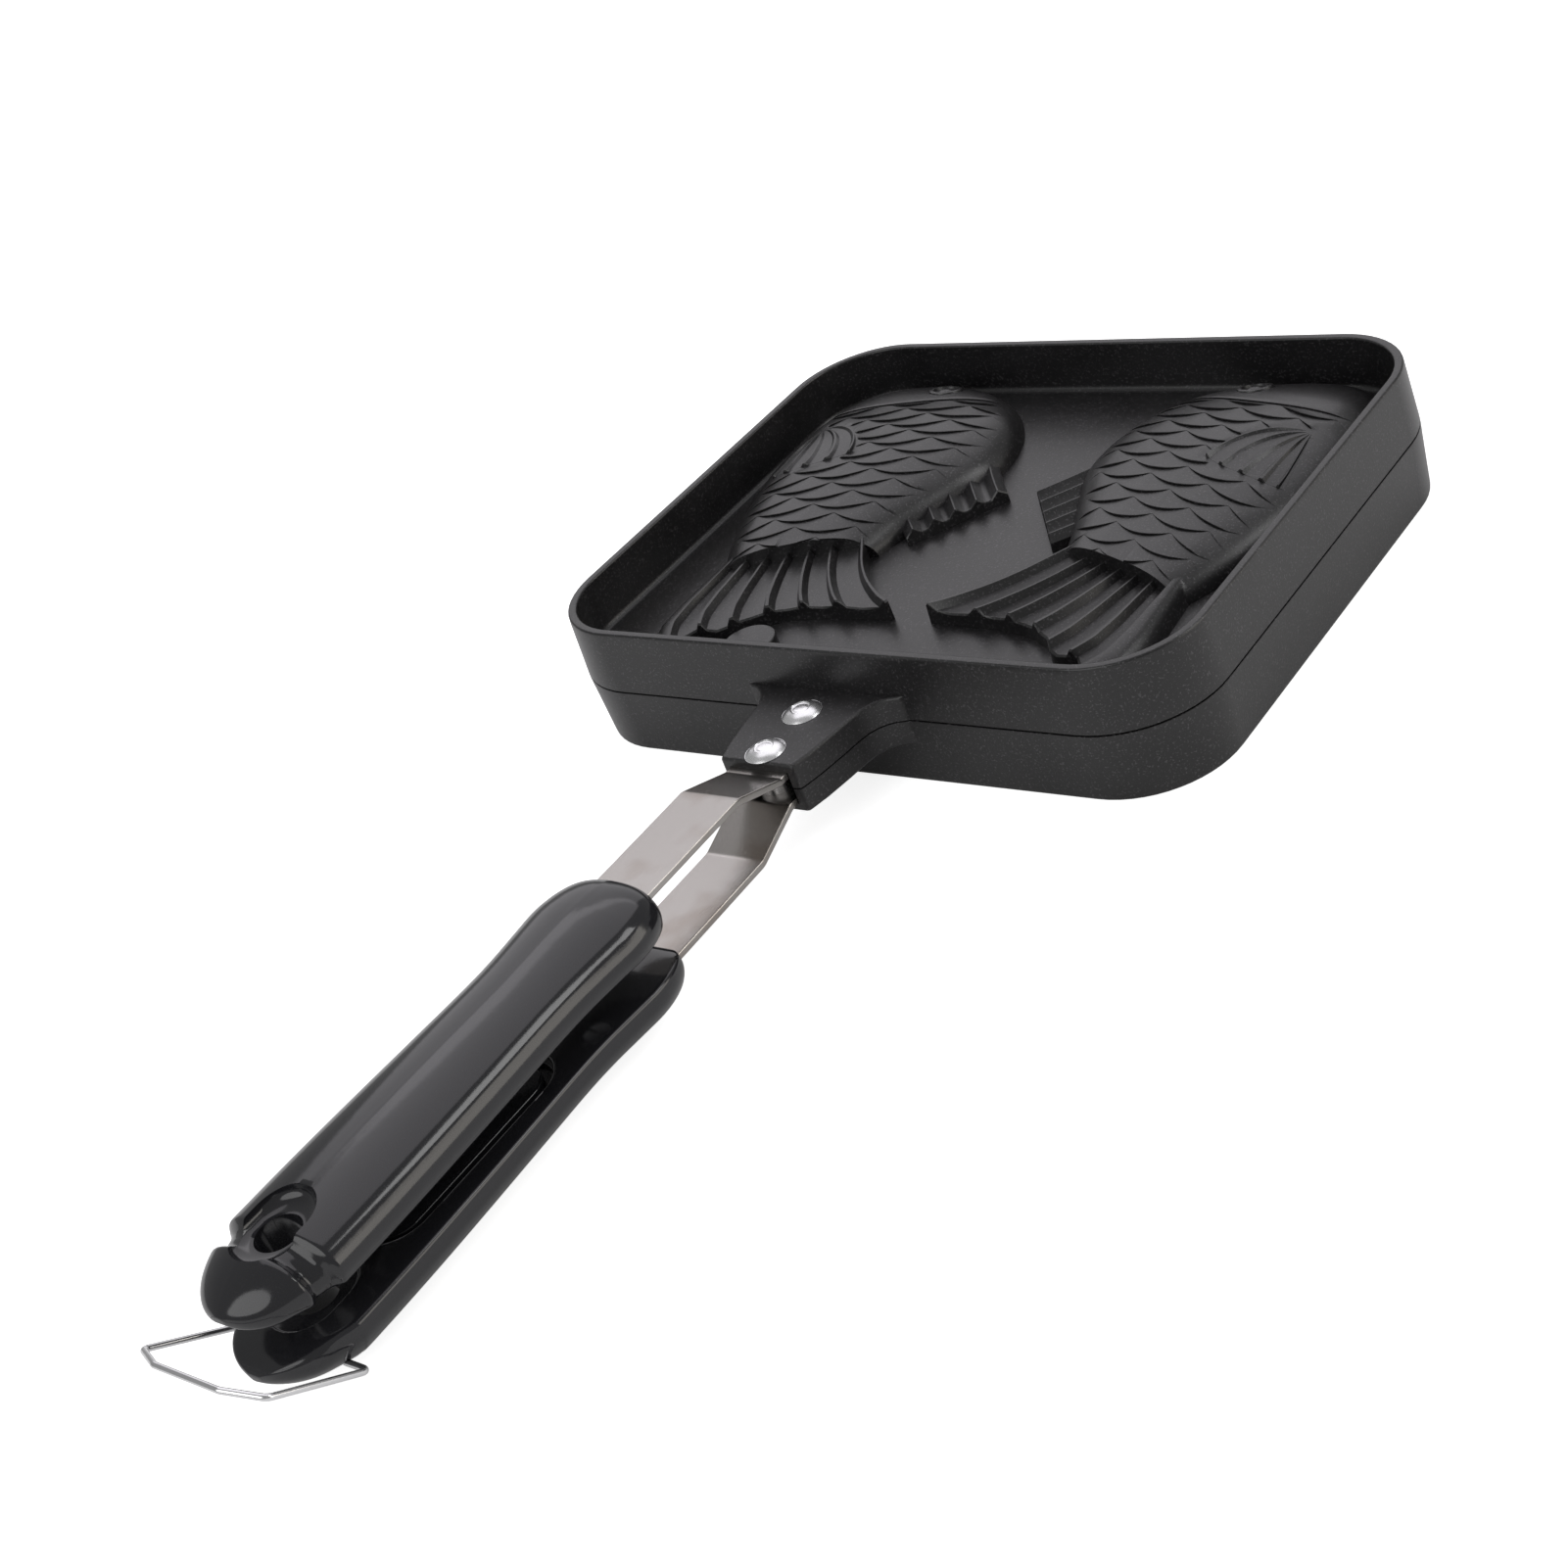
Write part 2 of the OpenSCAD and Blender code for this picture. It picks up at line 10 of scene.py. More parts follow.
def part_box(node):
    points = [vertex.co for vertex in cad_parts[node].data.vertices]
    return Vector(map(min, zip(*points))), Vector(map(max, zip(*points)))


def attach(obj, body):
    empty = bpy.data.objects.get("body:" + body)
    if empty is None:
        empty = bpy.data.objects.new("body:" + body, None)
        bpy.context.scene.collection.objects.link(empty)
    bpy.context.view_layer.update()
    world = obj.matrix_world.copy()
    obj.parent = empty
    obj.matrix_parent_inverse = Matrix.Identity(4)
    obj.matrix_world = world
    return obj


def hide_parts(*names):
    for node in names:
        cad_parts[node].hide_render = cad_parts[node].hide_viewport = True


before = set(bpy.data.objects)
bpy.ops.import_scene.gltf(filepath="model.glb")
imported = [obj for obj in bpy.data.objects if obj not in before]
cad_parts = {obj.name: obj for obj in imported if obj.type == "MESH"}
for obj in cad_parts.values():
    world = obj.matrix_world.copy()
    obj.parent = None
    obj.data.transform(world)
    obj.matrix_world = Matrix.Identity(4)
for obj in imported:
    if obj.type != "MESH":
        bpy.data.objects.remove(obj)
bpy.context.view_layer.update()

bl_info = {
    "name": "Fish cake pan",
    "version": (1, 0, 0),
    "blender": (4, 5, 0),
    "location": "View3D > Sidebar > Pan",
    "description": "Builds the visible surfaces of a double-sided pan for two fish cakes",
    "category": "Add Mesh",
}

# The pan is described in millimetres about the middle of its plates, with the parting
# plane at z = 0. Where the hinge knuckles lie in the frame takes that to its metres.
MM = 0.001
KNUCKLE_BACK, KNUCKLE_TOP = 72.75, 4.0
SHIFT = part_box("upper_plate")[1].y / MM - KNUCKLE_BACK
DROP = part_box("lower_plate")[1].z / MM - KNUCKLE_TOP
HALVES = (("upper", "upper_half", 1), ("lower", "lower_half", -1))

# Places and fits that several pieces share: the hinge line and its leaves, half the gap between
# the castings, the skirts, the tab, its rivets, the handle screw, the strap, how far the hanging
# hole and the latch pivot lie from the end of a handle, and the feet and bore of the latch wire
HINGE_Y, HINGE_X = 68.75, 42.0
LEAF_HALF, LEAF_GAP, OUTER_LEAF, ARM_FROM, PIN_BORE = 4.5, 0.35, 6.0, 61.9, 1.56
SEAM = 0.15
SKIRT = {1: 14.35, -1: 15.2}
TAB_REACH = 23.9
TAB_ROOF = 1.8
RIVET_FIRST, RIVET_STEP, RIVET_BORE = 7.65, 12.8, 2.0
SCREW_BORE = 1.5
STRAP_IN_GRIP, STRAP_EDGE, STRAP_SEAT, STRAP_BEND = 30, 0.28, 14.3, 3.0
# How far from the end of the tab a strap's ramp starts and ends
RAMP = (2.2, 14.2)
HANG_IN, PIVOT_IN = 16, 10
WIRE_FOOT, WIRE_BEND, WIRE_BORE = 5.7, 1.6, 0.68


# ---------------------------------------------------------------- sizes and finishes

def length(name, description, default):
    return FloatProperty(name=name, description=description, default=default, unit="LENGTH")


class PanCastingSizes(bpy.types.PropertyGroup):
    width: length("Width", "Width of a plate at the parting line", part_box("upper_plate")[1].x * 2)
    depth: length("Depth", "Depth of a plate at the parting line", 0.1255)
    corner: length("Corner radius", "Radius of the plate corners", 0.0211)
    wall: length("Wall", "Thickness of the skirt walls", 0.002)
    draft: length("Draft", "How far the skirt leans in at its rim", 0.0007)
    floor: length("Floor", "Height of the tray's floor over the parting line", 0.002)
    rounding: length("Rim rounding", "Radius of the rounded rim edges", 0.0005)
    shell: length("Shell", "Wall thickness of the fish shells", 0.0018)
    middle: length("Middle", "Sideways place of the line between the fish", 0.0012)
    fish_height: length("Fish height", "Height of the fish bodies", 0.012)
    tail_height: length("Tail height", "Height of the ridges of the tails", 0.0066)
    fin_height: length("Fin height", "Height of the folds of the back fins", 0.0054)
    pad: length("Pad", "Diameter of the round pad beside one tail", 0.012)
    tab_height: length("Tab height", "Height of the handle tabs", 0.0055)
    knuckle: length("Knuckle", "Diameter of the hinge knuckles", 0.008)


class PanScaleSizes(bpy.types.PropertyGroup):
    width: length("Width", "Width of one scale", 0.0148)
    pitch: length("Pitch", "Distance between two rows of scales", 0.004)
    dip: length("Dip", "How far the edge of a scale reaches past its corners", 0.0025)
    lift: length("Lift", "Height of the edge of a scale", 0.0005)
    lean: FloatProperty(name="Lean", description="How much the rows lean across the fish", default=0.24)
    columns: IntProperty(name="Columns", description="Points across one fish", default=104)


class PanHandleSizes(bpy.types.PropertyGroup):
    start: length("Start", "Distance from the plate wall to the handle", 0.066)
    length: length("Length", "Length of a handle", 0.106)
    screw: length("Screw", "Distance from the front of the handle to its screw", 0.018)
    pocket: length("Pocket", "Distance from the front of the handle to the middle of its pocket", 0.055)
    half_width: length("Half width", "Half width of a handle", 0.0139)
    inner: length("Inner face", "Height of the flat inner face", 0.0034)
    crown: length("Crown", "Height of the crown", 0.0129)
    hole: length("Hanging hole", "Diameter of the hanging hole", 0.0085)
    strap_width: length("Strap width", "Width of the steel straps", 0.014)
    strap_thickness: length("Strap thickness", "Thickness of the steel straps", 0.0015)
    strap_height: length("Strap height", "Height of a strap's outer face at the handle", 0.008)
    rivet_head: length("Rivet head", "Diameter of the rivet heads", 0.0083)


class PanWireSizes(bpy.types.PropertyGroup):
    thickness: length("Thickness", "Diameter of the latch wire", 0.0012)
    pivot_depth: length("Pivot depth", "Depth of the pivot under the parting line", 0.0099)
    bar_height: length("Bar height", "Height of the closed cross bar", 0.0133)
    lean: length("Lean", "How far the closed cross bar leans to the plates", 0.0022)
    bar_half: length("Half bar", "Half length of the flat part of the cross bar", 0.008)
    shoulder: length("Shoulder", "How far the shoulders lie below the bar", 0.0032)
    leg: length("Leg", "Distance of a leg from the middle", 0.0153)
    open_angle: FloatProperty(name="Stored angle", description="Angle behind the closed place",
                              default=radians(60), subtype="ANGLE")


def colour(name, description, default):
    return FloatVectorProperty(name=name, description=description, default=default,
                               subtype="COLOR", size=3, min=0, max=1)


class PanFinishes(bpy.types.PropertyGroup):
    coating: colour("Coating", "Non-stick coating of the castings", (0.0080, 0.0077, 0.0082))
    speckle: colour("Speckle", "Pale grains in the coating", (0.052, 0.050, 0.053))
    strap: colour("Strap", "Satin steel of the straps", (0.38, 0.362, 0.345))
    tarnish: colour("Tarnish", "Brown haze on the steel", (0.27, 0.23, 0.20))
    rivet: colour("Rivet", "Bright aluminium of the rivets", (0.86, 0.86, 0.87))
    handle: colour("Handle", "Black phenolic of the handles", (0.013, 0.013, 0.015))
    plated: colour("Plated", "Plated steel of the screws and pins", (0.62, 0.62, 0.63))
    wire: colour("Wire", "Bright steel of the latch wire", (0.74, 0.74, 0.75))
    floor: colour("Floor", "Floor under the pan", (0.82, 0.82, 0.82))


def keys_of(group):
    return [key for key in group.bl_rna.properties.keys() if key not in ("rna_type", "name")]


def sizes(group):
    """The sizes of one property group in millimetres, angles and counts as they are."""
    found = {}
    for key in keys_of(group):
        value = getattr(group, key)
        found[key] = value / MM if group.bl_rna.properties[key].unit == "LENGTH" else value
    return found


def wanted(context, finish):
    """The sizes of the castings, handles and wire, and the finish of a piece."""
    scene = context.scene
    groups = scene.pan_casting, scene.pan_handle, scene.pan_wire
    return [sizes(group) for group in groups] + [make_finishes(scene.pan_finishes)[finish]]


# ---------------------------------------------------------------- shaping tools

def drop_in(points):
    """Takes points from the pan's millimetres to the frame's metres."""
    return (np.asarray(points, float).reshape(-1, 3) + (0, SHIFT, DROP)) * MM


def solid(name, points, faces, merge=True):
    """A closed mesh object with its faces pointing outwards."""
    mesh = bpy.data.meshes.new(name)
    mesh.from_pydata(drop_in(points).tolist(), [], [list(map(int, face)) for face in faces])
    work = bmesh.new()
    work.from_mesh(mesh)
    if merge:
        bmesh.ops.remove_doubles(work, verts=work.verts, dist=2e-6)
    bmesh.ops.recalc_face_normals(work, faces=work.faces)
    work.to_mesh(mesh)
    work.free()
    return put_in_scene(name, mesh)


def put_in_scene(name, data):
    made = bpy.data.objects.new(name, data)
    bpy.context.scene.collection.objects.link(made)
    return made


def loft(rings, ends=True):
    """Points and faces of a skin through equal closed rings."""
    points = np.asarray(rings, float)
    count = points.shape[1]
    number = np.arange(len(points) * count).reshape(-1, count)
    faces = []
    for row, above in zip(number[:-1], number[1:]):
        faces += zip(row, np.roll(row, -1), np.roll(above, -1), above)
    if ends:
        faces += [tuple(number[0][::-1]), tuple(number[-1])]
    return points.reshape(-1, 3), faces


def grid_block(top, base_z, spread=0.0):
    """Closes a grid of top points downwards to a flat base."""
    rows, columns = top.shape[:2]
    number = np.arange(rows * columns).reshape(rows, columns)
    edge = np.concatenate([number[0], number[1:, -1], number[-1, -2::-1], number[-2:0:-1, 0]])
    flat = top.reshape(-1, 3)
    rim = flat[edge]
    if spread:
        onward = np.roll(rim, -1, 0) - np.roll(rim, 1, 0)
        aside = np.stack([onward[:, 1], -onward[:, 0]], 1)
        aside /= np.maximum(np.linalg.norm(aside, axis=1, keepdims=True), 1e-9)
        rim[:, :2] += aside * spread * turn_of(rim)
    rim[:, 2] = base_z
    faces = [(a, a + 1, a + columns + 1, a + columns) for a in number[:-1, :-1].ravel()]
    foot = rows * columns + np.arange(len(edge))
    faces += zip(edge, np.roll(edge, -1), np.roll(foot, -1), foot)
    return np.concatenate([flat, rim]), faces + [tuple(foot)]


def spline(values, place):
    """Smooth values at places between the rows of a table."""
    rows = np.asarray(values, float)
    place = np.clip(np.asarray(place, float), 0, len(rows) - 1)
    start = np.minimum(place.astype(int), len(rows) - 2)
    f = (place - start)[:, None]
    a, b = rows[np.maximum(start - 1, 0)], rows[start]
    c, d = rows[start + 1], rows[np.minimum(start + 2, len(rows) - 1)]
    return 0.5 * (2 * b + (c - a) * f + (2 * a - 5 * b + 4 * c - d) * f ** 2 + (3 * b - a - 3 * c + d) * f ** 3)


def along(corners, count, smooth=0):
    """Evenly spaced points on a line through corners, with the corners eased off."""
    line = np.asarray(corners, float)
    for _ in range(smooth):
        cut = [line[0]]
        for a, b in zip(line[:-1], line[1:]):
            cut += [a * 0.75 + b * 0.25, a * 0.25 + b * 0.75]
        line = np.array(cut + [line[-1]])
    reach = np.concatenate([[0], np.cumsum(np.linalg.norm(np.diff(line, axis=0), axis=1))])
    where = np.asarray(count, float) * reach[-1] if np.ndim(count) else np.linspace(0, reach[-1], count)
    return np.stack([np.interp(where, reach, line[:, k]) for k in range(line.shape[1])], 1)


def soft_power(value, power):
    """A power that keeps the sign."""
    return np.sign(value) * np.abs(value) ** power


def ease(low, high, value):
    """0 up to low and 1 from high on, with an S between them."""
    f = np.clip((np.asarray(value, float) - low) / (high - low), 0, 1)
    return f * f * (3 - 2 * f)


def turn_of(line):
    """1 where a closed outline runs anticlockwise, -1 where it runs clockwise."""
    return np.sign(np.sum(line[:, 0] * np.roll(line[:, 1], -1) - np.roll(line[:, 0], -1) * line[:, 1]))


def inset_outline(outline, inward):
    """Moves each corner of a closed outline inwards, square to its two sides."""
    line = np.asarray(outline, float)
    onward = np.roll(line, -1, 0) - line
    aside = np.stack([-onward[:, 1], onward[:, 0]], 1) / np.linalg.norm(onward, axis=1, keepdims=True)
    before = np.roll(aside, 1, 0)
    way = before + aside
    way /= np.maximum(np.sum(way * before, 1, keepdims=True), 0.3)
    return line + way * inward * turn_of(line)


def quarter(steps):
    """How far a rounded edge has come in, and how far it is from its top, over a quarter turn."""
    return [(1 - cos(pi / 2 * k / steps), 1 - sin(pi / 2 * k / steps)) for k in range(steps + 1)]


def rounded_prism(outline, low, high, rounding):
    """A prism with a rounded upper edge."""
    rings = [(0, low)] + [(rounding * inward, high - rounding * down) for inward, down in quarter(3)]
    return stack([(inset_outline(outline, inward), z) for inward, z in rings])


def circle(count, start=0.0):
    """Cosines and sines of even steps round a full turn."""
    turn = start + np.arange(count) * 2 * pi / count
    return np.cos(turn), np.sin(turn)


def disc_outline(x, y, radius, count=48):
    across, onward = circle(count)
    return np.column_stack([x + radius * across, y + radius * onward])


def oval_outline(y, width, reach, count=72):
    """A slot outline about x = 0: two half circles joined by straight sides."""
    run = (reach - width) / 2 * np.sign(circle(count, 1e-9)[1])
    return disc_outline(0, y, width / 2, count) + np.column_stack([np.zeros(count), run])


def rounded_box(x0, x1, y0, y1, r, steps):
    """A box outline with rounded corners, from the places of the corners' middles."""
    points = []
    for x, y, first in ((x1, y1, 0), (x0, y1, 90), (x0, y0, 180), (x1, y0, 270)):
        for k in range(steps + 1):
            turn = radians(first + 90 * k / steps)
            points.append((x + r * cos(turn), y + r * sin(turn)))
    return points


def block_outline(half, low, high):
    """A block about x = 0 between two places along the pan."""
    return [(-half, low), (half, low), (half, high), (-half, high)]


def stack(outlines_at):
    """A skin through flat outlines, each with its own height."""
    return loft([np.column_stack([flat, np.full(len(flat), z)]) for flat, z in outlines_at])


def lathe(profile, count=40, centre=(0, 0, 0), way="z", ends=True):
    """Turns a profile of (radius, height) pairs about an axis."""
    across, onward = circle(count)
    rings = []
    for radius, height in profile:
        radius = max(radius, 1e-3)
        ring = np.stack([radius * across, radius * onward, np.full(count, height)], 1)
        rings.append((ring if way == "z" else ring[:, (2, 0, 1)]) + centre)
    return loft(rings, ends)


def together(shapes):
    """Several shapes that don't touch, as one."""
    points, faces, start = [], [], 0
    for at, sides in shapes:
        points.append(np.asarray(at, float))
        faces += [tuple(k + start for k in side) for side in sides]
        start += len(at)
    return np.concatenate(points), faces


def on_half(shape, side):
    """A shape of the upper half, mirrored for the lower one where side is -1."""
    points, faces = shape
    return np.asarray(points, float) * (1, 1, side), faces


def carve(piece, join=(), cut=(), solver="MANIFOLD"):
    """Joins shapes to a piece and takes others away, then deletes the shapes."""
    for tools, way in ((join, "UNION"), (cut, "DIFFERENCE")):
        for tool in tools:
            step = piece.modifiers.new(way.lower(), "BOOLEAN")
            step.operation, step.solver, step.object = way, solver, tool
    settle(piece)
    for tool in list(join) + list(cut):
        old = tool.data
        bpy.data.objects.remove(tool)
        bpy.data.meshes.remove(old)
    return piece


def settle(piece):
    """Turns a piece with its modifiers into a plain mesh."""
    bpy.context.view_layer.update()
    graph = bpy.context.evaluated_depsgraph_get()
    made = bpy.data.meshes.new_from_object(piece.evaluated_get(graph), depsgraph=graph)
    piece.modifiers.clear()
    old, piece.data = piece.data, made
    made.name = piece.name
    bpy.data.meshes.remove(old)
    return piece


def finish_piece(piece, finish, body, slot, *nodes, angle=32, weighted=True):
    """Shades a piece, gives it its material and binds it to the frame."""
    piece.data.shade_smooth()
    piece.data.set_sharp_from_angle(angle=radians(angle))
    if weighted:
        step = piece.modifiers.new("weights", "WEIGHTED_NORMAL")
        step.keep_sharp = True
        step.weight = 80
        settle(piece)
    piece.data.materials.clear()
    piece.data.materials.append(finish)
    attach(piece, body)
    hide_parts(*nodes)
    return piece


# ---------------------------------------------------------------- finishes

class Value:
    """A socket that can be used in sums."""

    def __init__(self, nodes, socket):
        self.nodes, self.socket = nodes, socket

    def sum(self, operation, other):
        return self.nodes.node("ShaderNodeMath", {"operation": operation}, {0: self, 1: other})

    def __add__(self, other):
        return self.sum("ADD", other)

    __radd__ = __add__

    def __mul__(self, other):
        return self.sum("MULTIPLY", other)

    def range(self, low, high):
        """Takes the values between low and high to 0 to 1, eased at both ends."""
        return self.nodes.node("ShaderNodeMapRange", {"interpolation_type": "SMOOTHSTEP"},
                               {"Value": self, "From Min": low, "From Max": high})


class Nodes:
    """A node tree that grows one node at a time."""

    def __init__(self, tree):
        self.tree = tree
        tree.nodes.clear()

    def node(self, kind, settings=None, values=None, out=0):
        made = self.tree.nodes.new(kind)
        for key, value in (settings or {}).items():
            setattr(made, key, value)
        for key, value in (values or {}).items():
            if isinstance(value, Value):
                self.tree.links.new(value.socket, made.inputs[key])
            else:
                made.inputs[key].default_value = value
        return Value(self, made.outputs[out])


class Finish(Nodes):
    """One material, or the world, made from nodes."""

    def __init__(self, owner):
        self.owner = bpy.data.materials.new(owner) if isinstance(owner, str) else owner
        self.owner.use_nodes = True
        super().__init__(self.owner.node_tree)

    def place(self, scale=(1, 1, 1), turn=(0, 0, 0)):
        """Millimetres on the piece, stretched by a scale."""
        spot = self.node("ShaderNodeTexCoord", out="Object")
        return self.node("ShaderNodeMapping", {}, {
            "Vector": spot, "Rotation": turn, "Scale": tuple(s / MM for s in scale)})

    def noise(self, place, scale, detail=2.0, rough=0.5):
        return self.node("ShaderNodeTexNoise", {}, {
            "Vector": place, "Scale": scale, "Detail": detail, "Roughness": rough})

    def blend(self, factor, first, second):
        """A colour between two colours; the numbers are the Mix node's colour sockets."""
        return self.node("ShaderNodeMix", {"data_type": "RGBA"},
                         {0: factor, 6: (*first, 1), 7: (*second, 1)}, out=2)

    def bump(self, height, strength, distance):
        return self.node("ShaderNodeBump", {}, {
            "Height": height, "Strength": strength, "Distance": distance * MM})

    def surface(self, values):
        return self.end(self.node("ShaderNodeBsdfPrincipled", {}, values))

    def end(self, shader, kind="ShaderNodeOutputMaterial"):
        self.tree.links.new(shader.socket, self.tree.nodes.new(kind).inputs["Surface"])
        return self.owner


def coating_finish(colours):
    """Dark non-stick coating with pale grains, over a slightly uneven casting."""
    f = Finish("nonstick_coating")
    mm = f.place()
    along_pan = f.node("ShaderNodeSeparateXYZ", {}, {"Vector": mm}, out="Y")
    outside = along_pan.range(SHIFT - 62, SHIFT - 64)
    grain = f.noise(mm, 2.3, 1.0, 0.5)
    patch = f.noise(mm, 0.06, 2.0, 0.5)
    mask = grain.range(0.58, 0.72) * 0.9 + patch.range(0.35, 0.7) * 0.08
    skin = f.noise(mm, 1.7, 3.0, 0.6)
    return f.surface({
        "Base Color": f.blend(mask, colours.coating, colours.speckle),
        "Roughness": 0.26 + grain * 0.09 + patch * 0.05 + outside * 0.11,
        "Normal": f.bump(skin, 0.3, 0.07)})


def satin_finish(colours):
    """Satin steel brushed along the strap, with a faint brown haze."""
    f = Finish("satin_steel")
    brushed = f.noise(f.place((6.0, 0.12, 6.0)), 1.0, 2.0, 0.6)
    haze = f.noise(f.place(), 0.09, 2.0, 0.5)
    return f.surface({
        "Base Color": f.blend(haze.range(0.48, 0.75) * 0.55, colours.strap, colours.tarnish),
        "Metallic": 1.0,
        "Roughness": 0.17 + brushed * 0.10 + haze * 0.05,
        "Normal": f.bump(brushed, 0.25, 0.04)})


def bright_finish(name, base, rough, scratches):
    """Bright metal with fine scratches."""
    f = Finish(name)
    marks = f.noise(f.place((3.0, 0.5, 3.0), (0.3, 0.5, 0.9)), 2.0, 3.0, 0.6)
    cloud = f.noise(f.place(), 0.5, 1.0, 0.5)
    return f.surface({
        "Base Color": f.blend(cloud * 0.35, base, tuple(0.72 * c for c in base)),
        "Metallic": 1.0,
        "Roughness": rough + marks * scratches,
        "Normal": f.bump(marks, 0.2, 0.02)})


def phenolic_finish(colours):
    """Glossy black moulded phenolic with a faint unevenness."""
    f = Finish("black_phenolic")
    mm = f.place()
    wave = f.noise(mm, 0.35, 2.0, 0.5)
    dust = f.noise(mm, 3.2, 2.0, 0.6)
    return f.surface({
        "Base Color": f.blend(dust.range(0.6, 0.8) * 0.5, colours.handle,
                              tuple(2.2 * c for c in colours.handle)),
        "Roughness": 0.11 + dust.range(0.45, 0.75) * 0.05,
        "Normal": f.bump(wave, 0.10, 0.12)})


FINISHES = {}


def make_finishes(colours):
    if not FINISHES:
        FINISHES["coating"] = coating_finish(colours)
        FINISHES["satin"] = satin_finish(colours)
        FINISHES["rivet"] = bright_finish("bright_aluminium", tuple(colours.rivet), 0.20, 0.16)
        FINISHES["phenolic"] = phenolic_finish(colours)
        FINISHES["plated"] = bright_finish("plated_steel", tuple(colours.plated), 0.22, 0.14)
        FINISHES["wire"] = bright_finish("spring_wire", tuple(colours.wire), 0.14, 0.10)
    return FINISHES


# ---------------------------------------------------------------- the two castings

# Fish body, head first: y, inner edge, outer edge, share of the height, slant of the section
FISH_ROWS = (
    (60.0, 43.5, 55.0, 0.13, 0), (59.0, 41.0, 57.5, 0.26, 0), (56.5, 34.0, 62.0, 0.43, 0),
    (52.5, 27.5, 66.0, 0.61, 0), (47.5, 21.0, 69.0, 0.77, 0), (39.5, 15.4, 71.5, 0.91, 0),
    (31.5, 12.4, 72.6, 0.98, 0), (22.0, 11.6, 72.6, 1.00, -0.04), (14.0, 12.6, 71.3, 0.98, -0.10),
    (6.0, 15.2, 68.8, 0.94, -0.17), (-2.0, 18.0, 65.5, 0.88, -0.25), (-10.0, 21.2, 61.5, 0.80, -0.33),
    (-17.0, 23.4, 57.8, 0.70, -0.39))
FISH_MIDDLE, FISH_HALF = 21.0, 38.0
FISH_FOOT = 0.65
# The section of the body is an arch whose cosine and sine are raised to this power. Its points
# are spread evenly over a section of this half width and height
ARCH, ARCH_SIZE = 0.8, (29, 11)
# Edge of the gill: its place, its curve, and the middle and half width of that curve
GILL_Y, GILL_CURVE, GILL_X, GILL_HALF = 45.5, 4.0, 43, 30
# Middle of the field of scales, its first row, and the row numbers from head to tail
SCALES_X, SCALES_Y, SCALE_ROWS = 35.5, 18.2, range(6, -9, -1)

# Tail and back fin: root, inner edge, outer edge and end, with the places of the ridges across.
# The tail's flank falls off beside its last ridge: place across, share of the height
TAIL = (
    ((27, -9), (42, -12), (58.5, -20)),
    ((27, -9), (18.5, -22.5), (9.5, -30.2), (4.8, -32.6)),
    ((58.5, -20), (61, -45), (57, -51.3)),
    ((4.8, -32.6), (5.6, -34.6), (22.5, -34.8), (30.5, -36.2), (37.5, -40), (41.2, -45), (48, -45.8),
     (50.5, -50.3), (57, -51.3)))
TAIL_RIDGES = (0.03, 0.234, 0.377, 0.51, 0.645, 0.774, 0.90)
TAIL_FLANK = ((0.905, 0.97), (0.930, 0.85), (0.950, 0.55), (0.968, 0.1), (0.984, -0.5), (1.0, -1.25))
FIN = (
    ((15, 27.5), (28, 4)),
    ((15, 27.5), (9.2, 19.5), (3.8, 13.2)),
    ((28, 4), (18.3, -6)),
    ((3.8, 13.2), (18.3, -6)))
FIN_RIDGES = (0.08, 0.29, 0.5, 0.71, 0.92)
FIN_FOLDS = {"rows": 7, "back": 0.35, "floor": 0.14}
# Side fin of a fish: where its ridges start, bend and end, and the field that it covers
FAN_APEX = (62.5, 28.8)
FAN_ENDS = ((45.3, 15.9), (50.1, 13.0), (55.5, 11.1), (60.4, 9.6), (64.2, 9.2))
FAN_BENDS = ((48.7, 28.6), (51.6, 23.9), (56.6, 20.6), (60.8, 19.6), (64.2, 19.2))
FAN_FIELD = ((67.5, 7.5), (67.5, 29.0), (63.5, 30.5), (54.0, 29.0), (47.5, 23.5), (43.3, 15.8), (49.5, 11.3),
             (59.0, 7.8))
EYE_AT = (40.0, 48.2)
PAD_AT = (-32.5, -47.0)
PAD_HEIGHT = 4.5


def tray(size, height):
    """Floor and skirt of one plate, with rounded rims and a fillet at the floor."""
    wall, draft, r = size["wall"], size["draft"], size["rounding"]
    fillet, lean = 1.5, draft / height
    profile = [(0.22, SEAM), (0.06, SEAM + 0.06), (0, SEAM + 0.22)]
    profile += [(lean * z, z) for z in (height * 0.3, height * 0.7, height - 1.2)]
    profile += [(draft + r * inward, height - r * down) for inward, down in quarter(3)]
    profile += [(draft + wall - r * inward, height - r * down) for inward, down in quarter(3)[::-1]]
    profile += [(wall + lean * z, z) for z in (height - 1.2, height * 0.6, height * 0.35)]
    profile += [(wall + SEAM + fillet * inward, size["floor"] + fillet * down) for inward, down in quarter(6)]
    x, y = size["width"] / 2 - size["corner"], size["depth"] / 2 - size["corner"]
    return stack([(rounded_box(-x, x, -y, y, size["corner"] - inward, 14), z) for inward, z in profile])


def lobe(place):
    """Outline of one scale across its width: 0 at its corners, 1 in the middle."""
    f = place - np.floor(place)
    return 1 - np.abs(2 * f - 1) ** 2


def fish_rows():
    """Fine rows of the fish: place in the table, y, middle, half width, share and slant."""
    fine = np.linspace(0, len(FISH_ROWS) - 1, 521)
    y, inner, outer, share, slant = spline(FISH_ROWS, fine).T
    return fine, y, (inner + outer) / 2, (outer - inner) / 2, share, slant


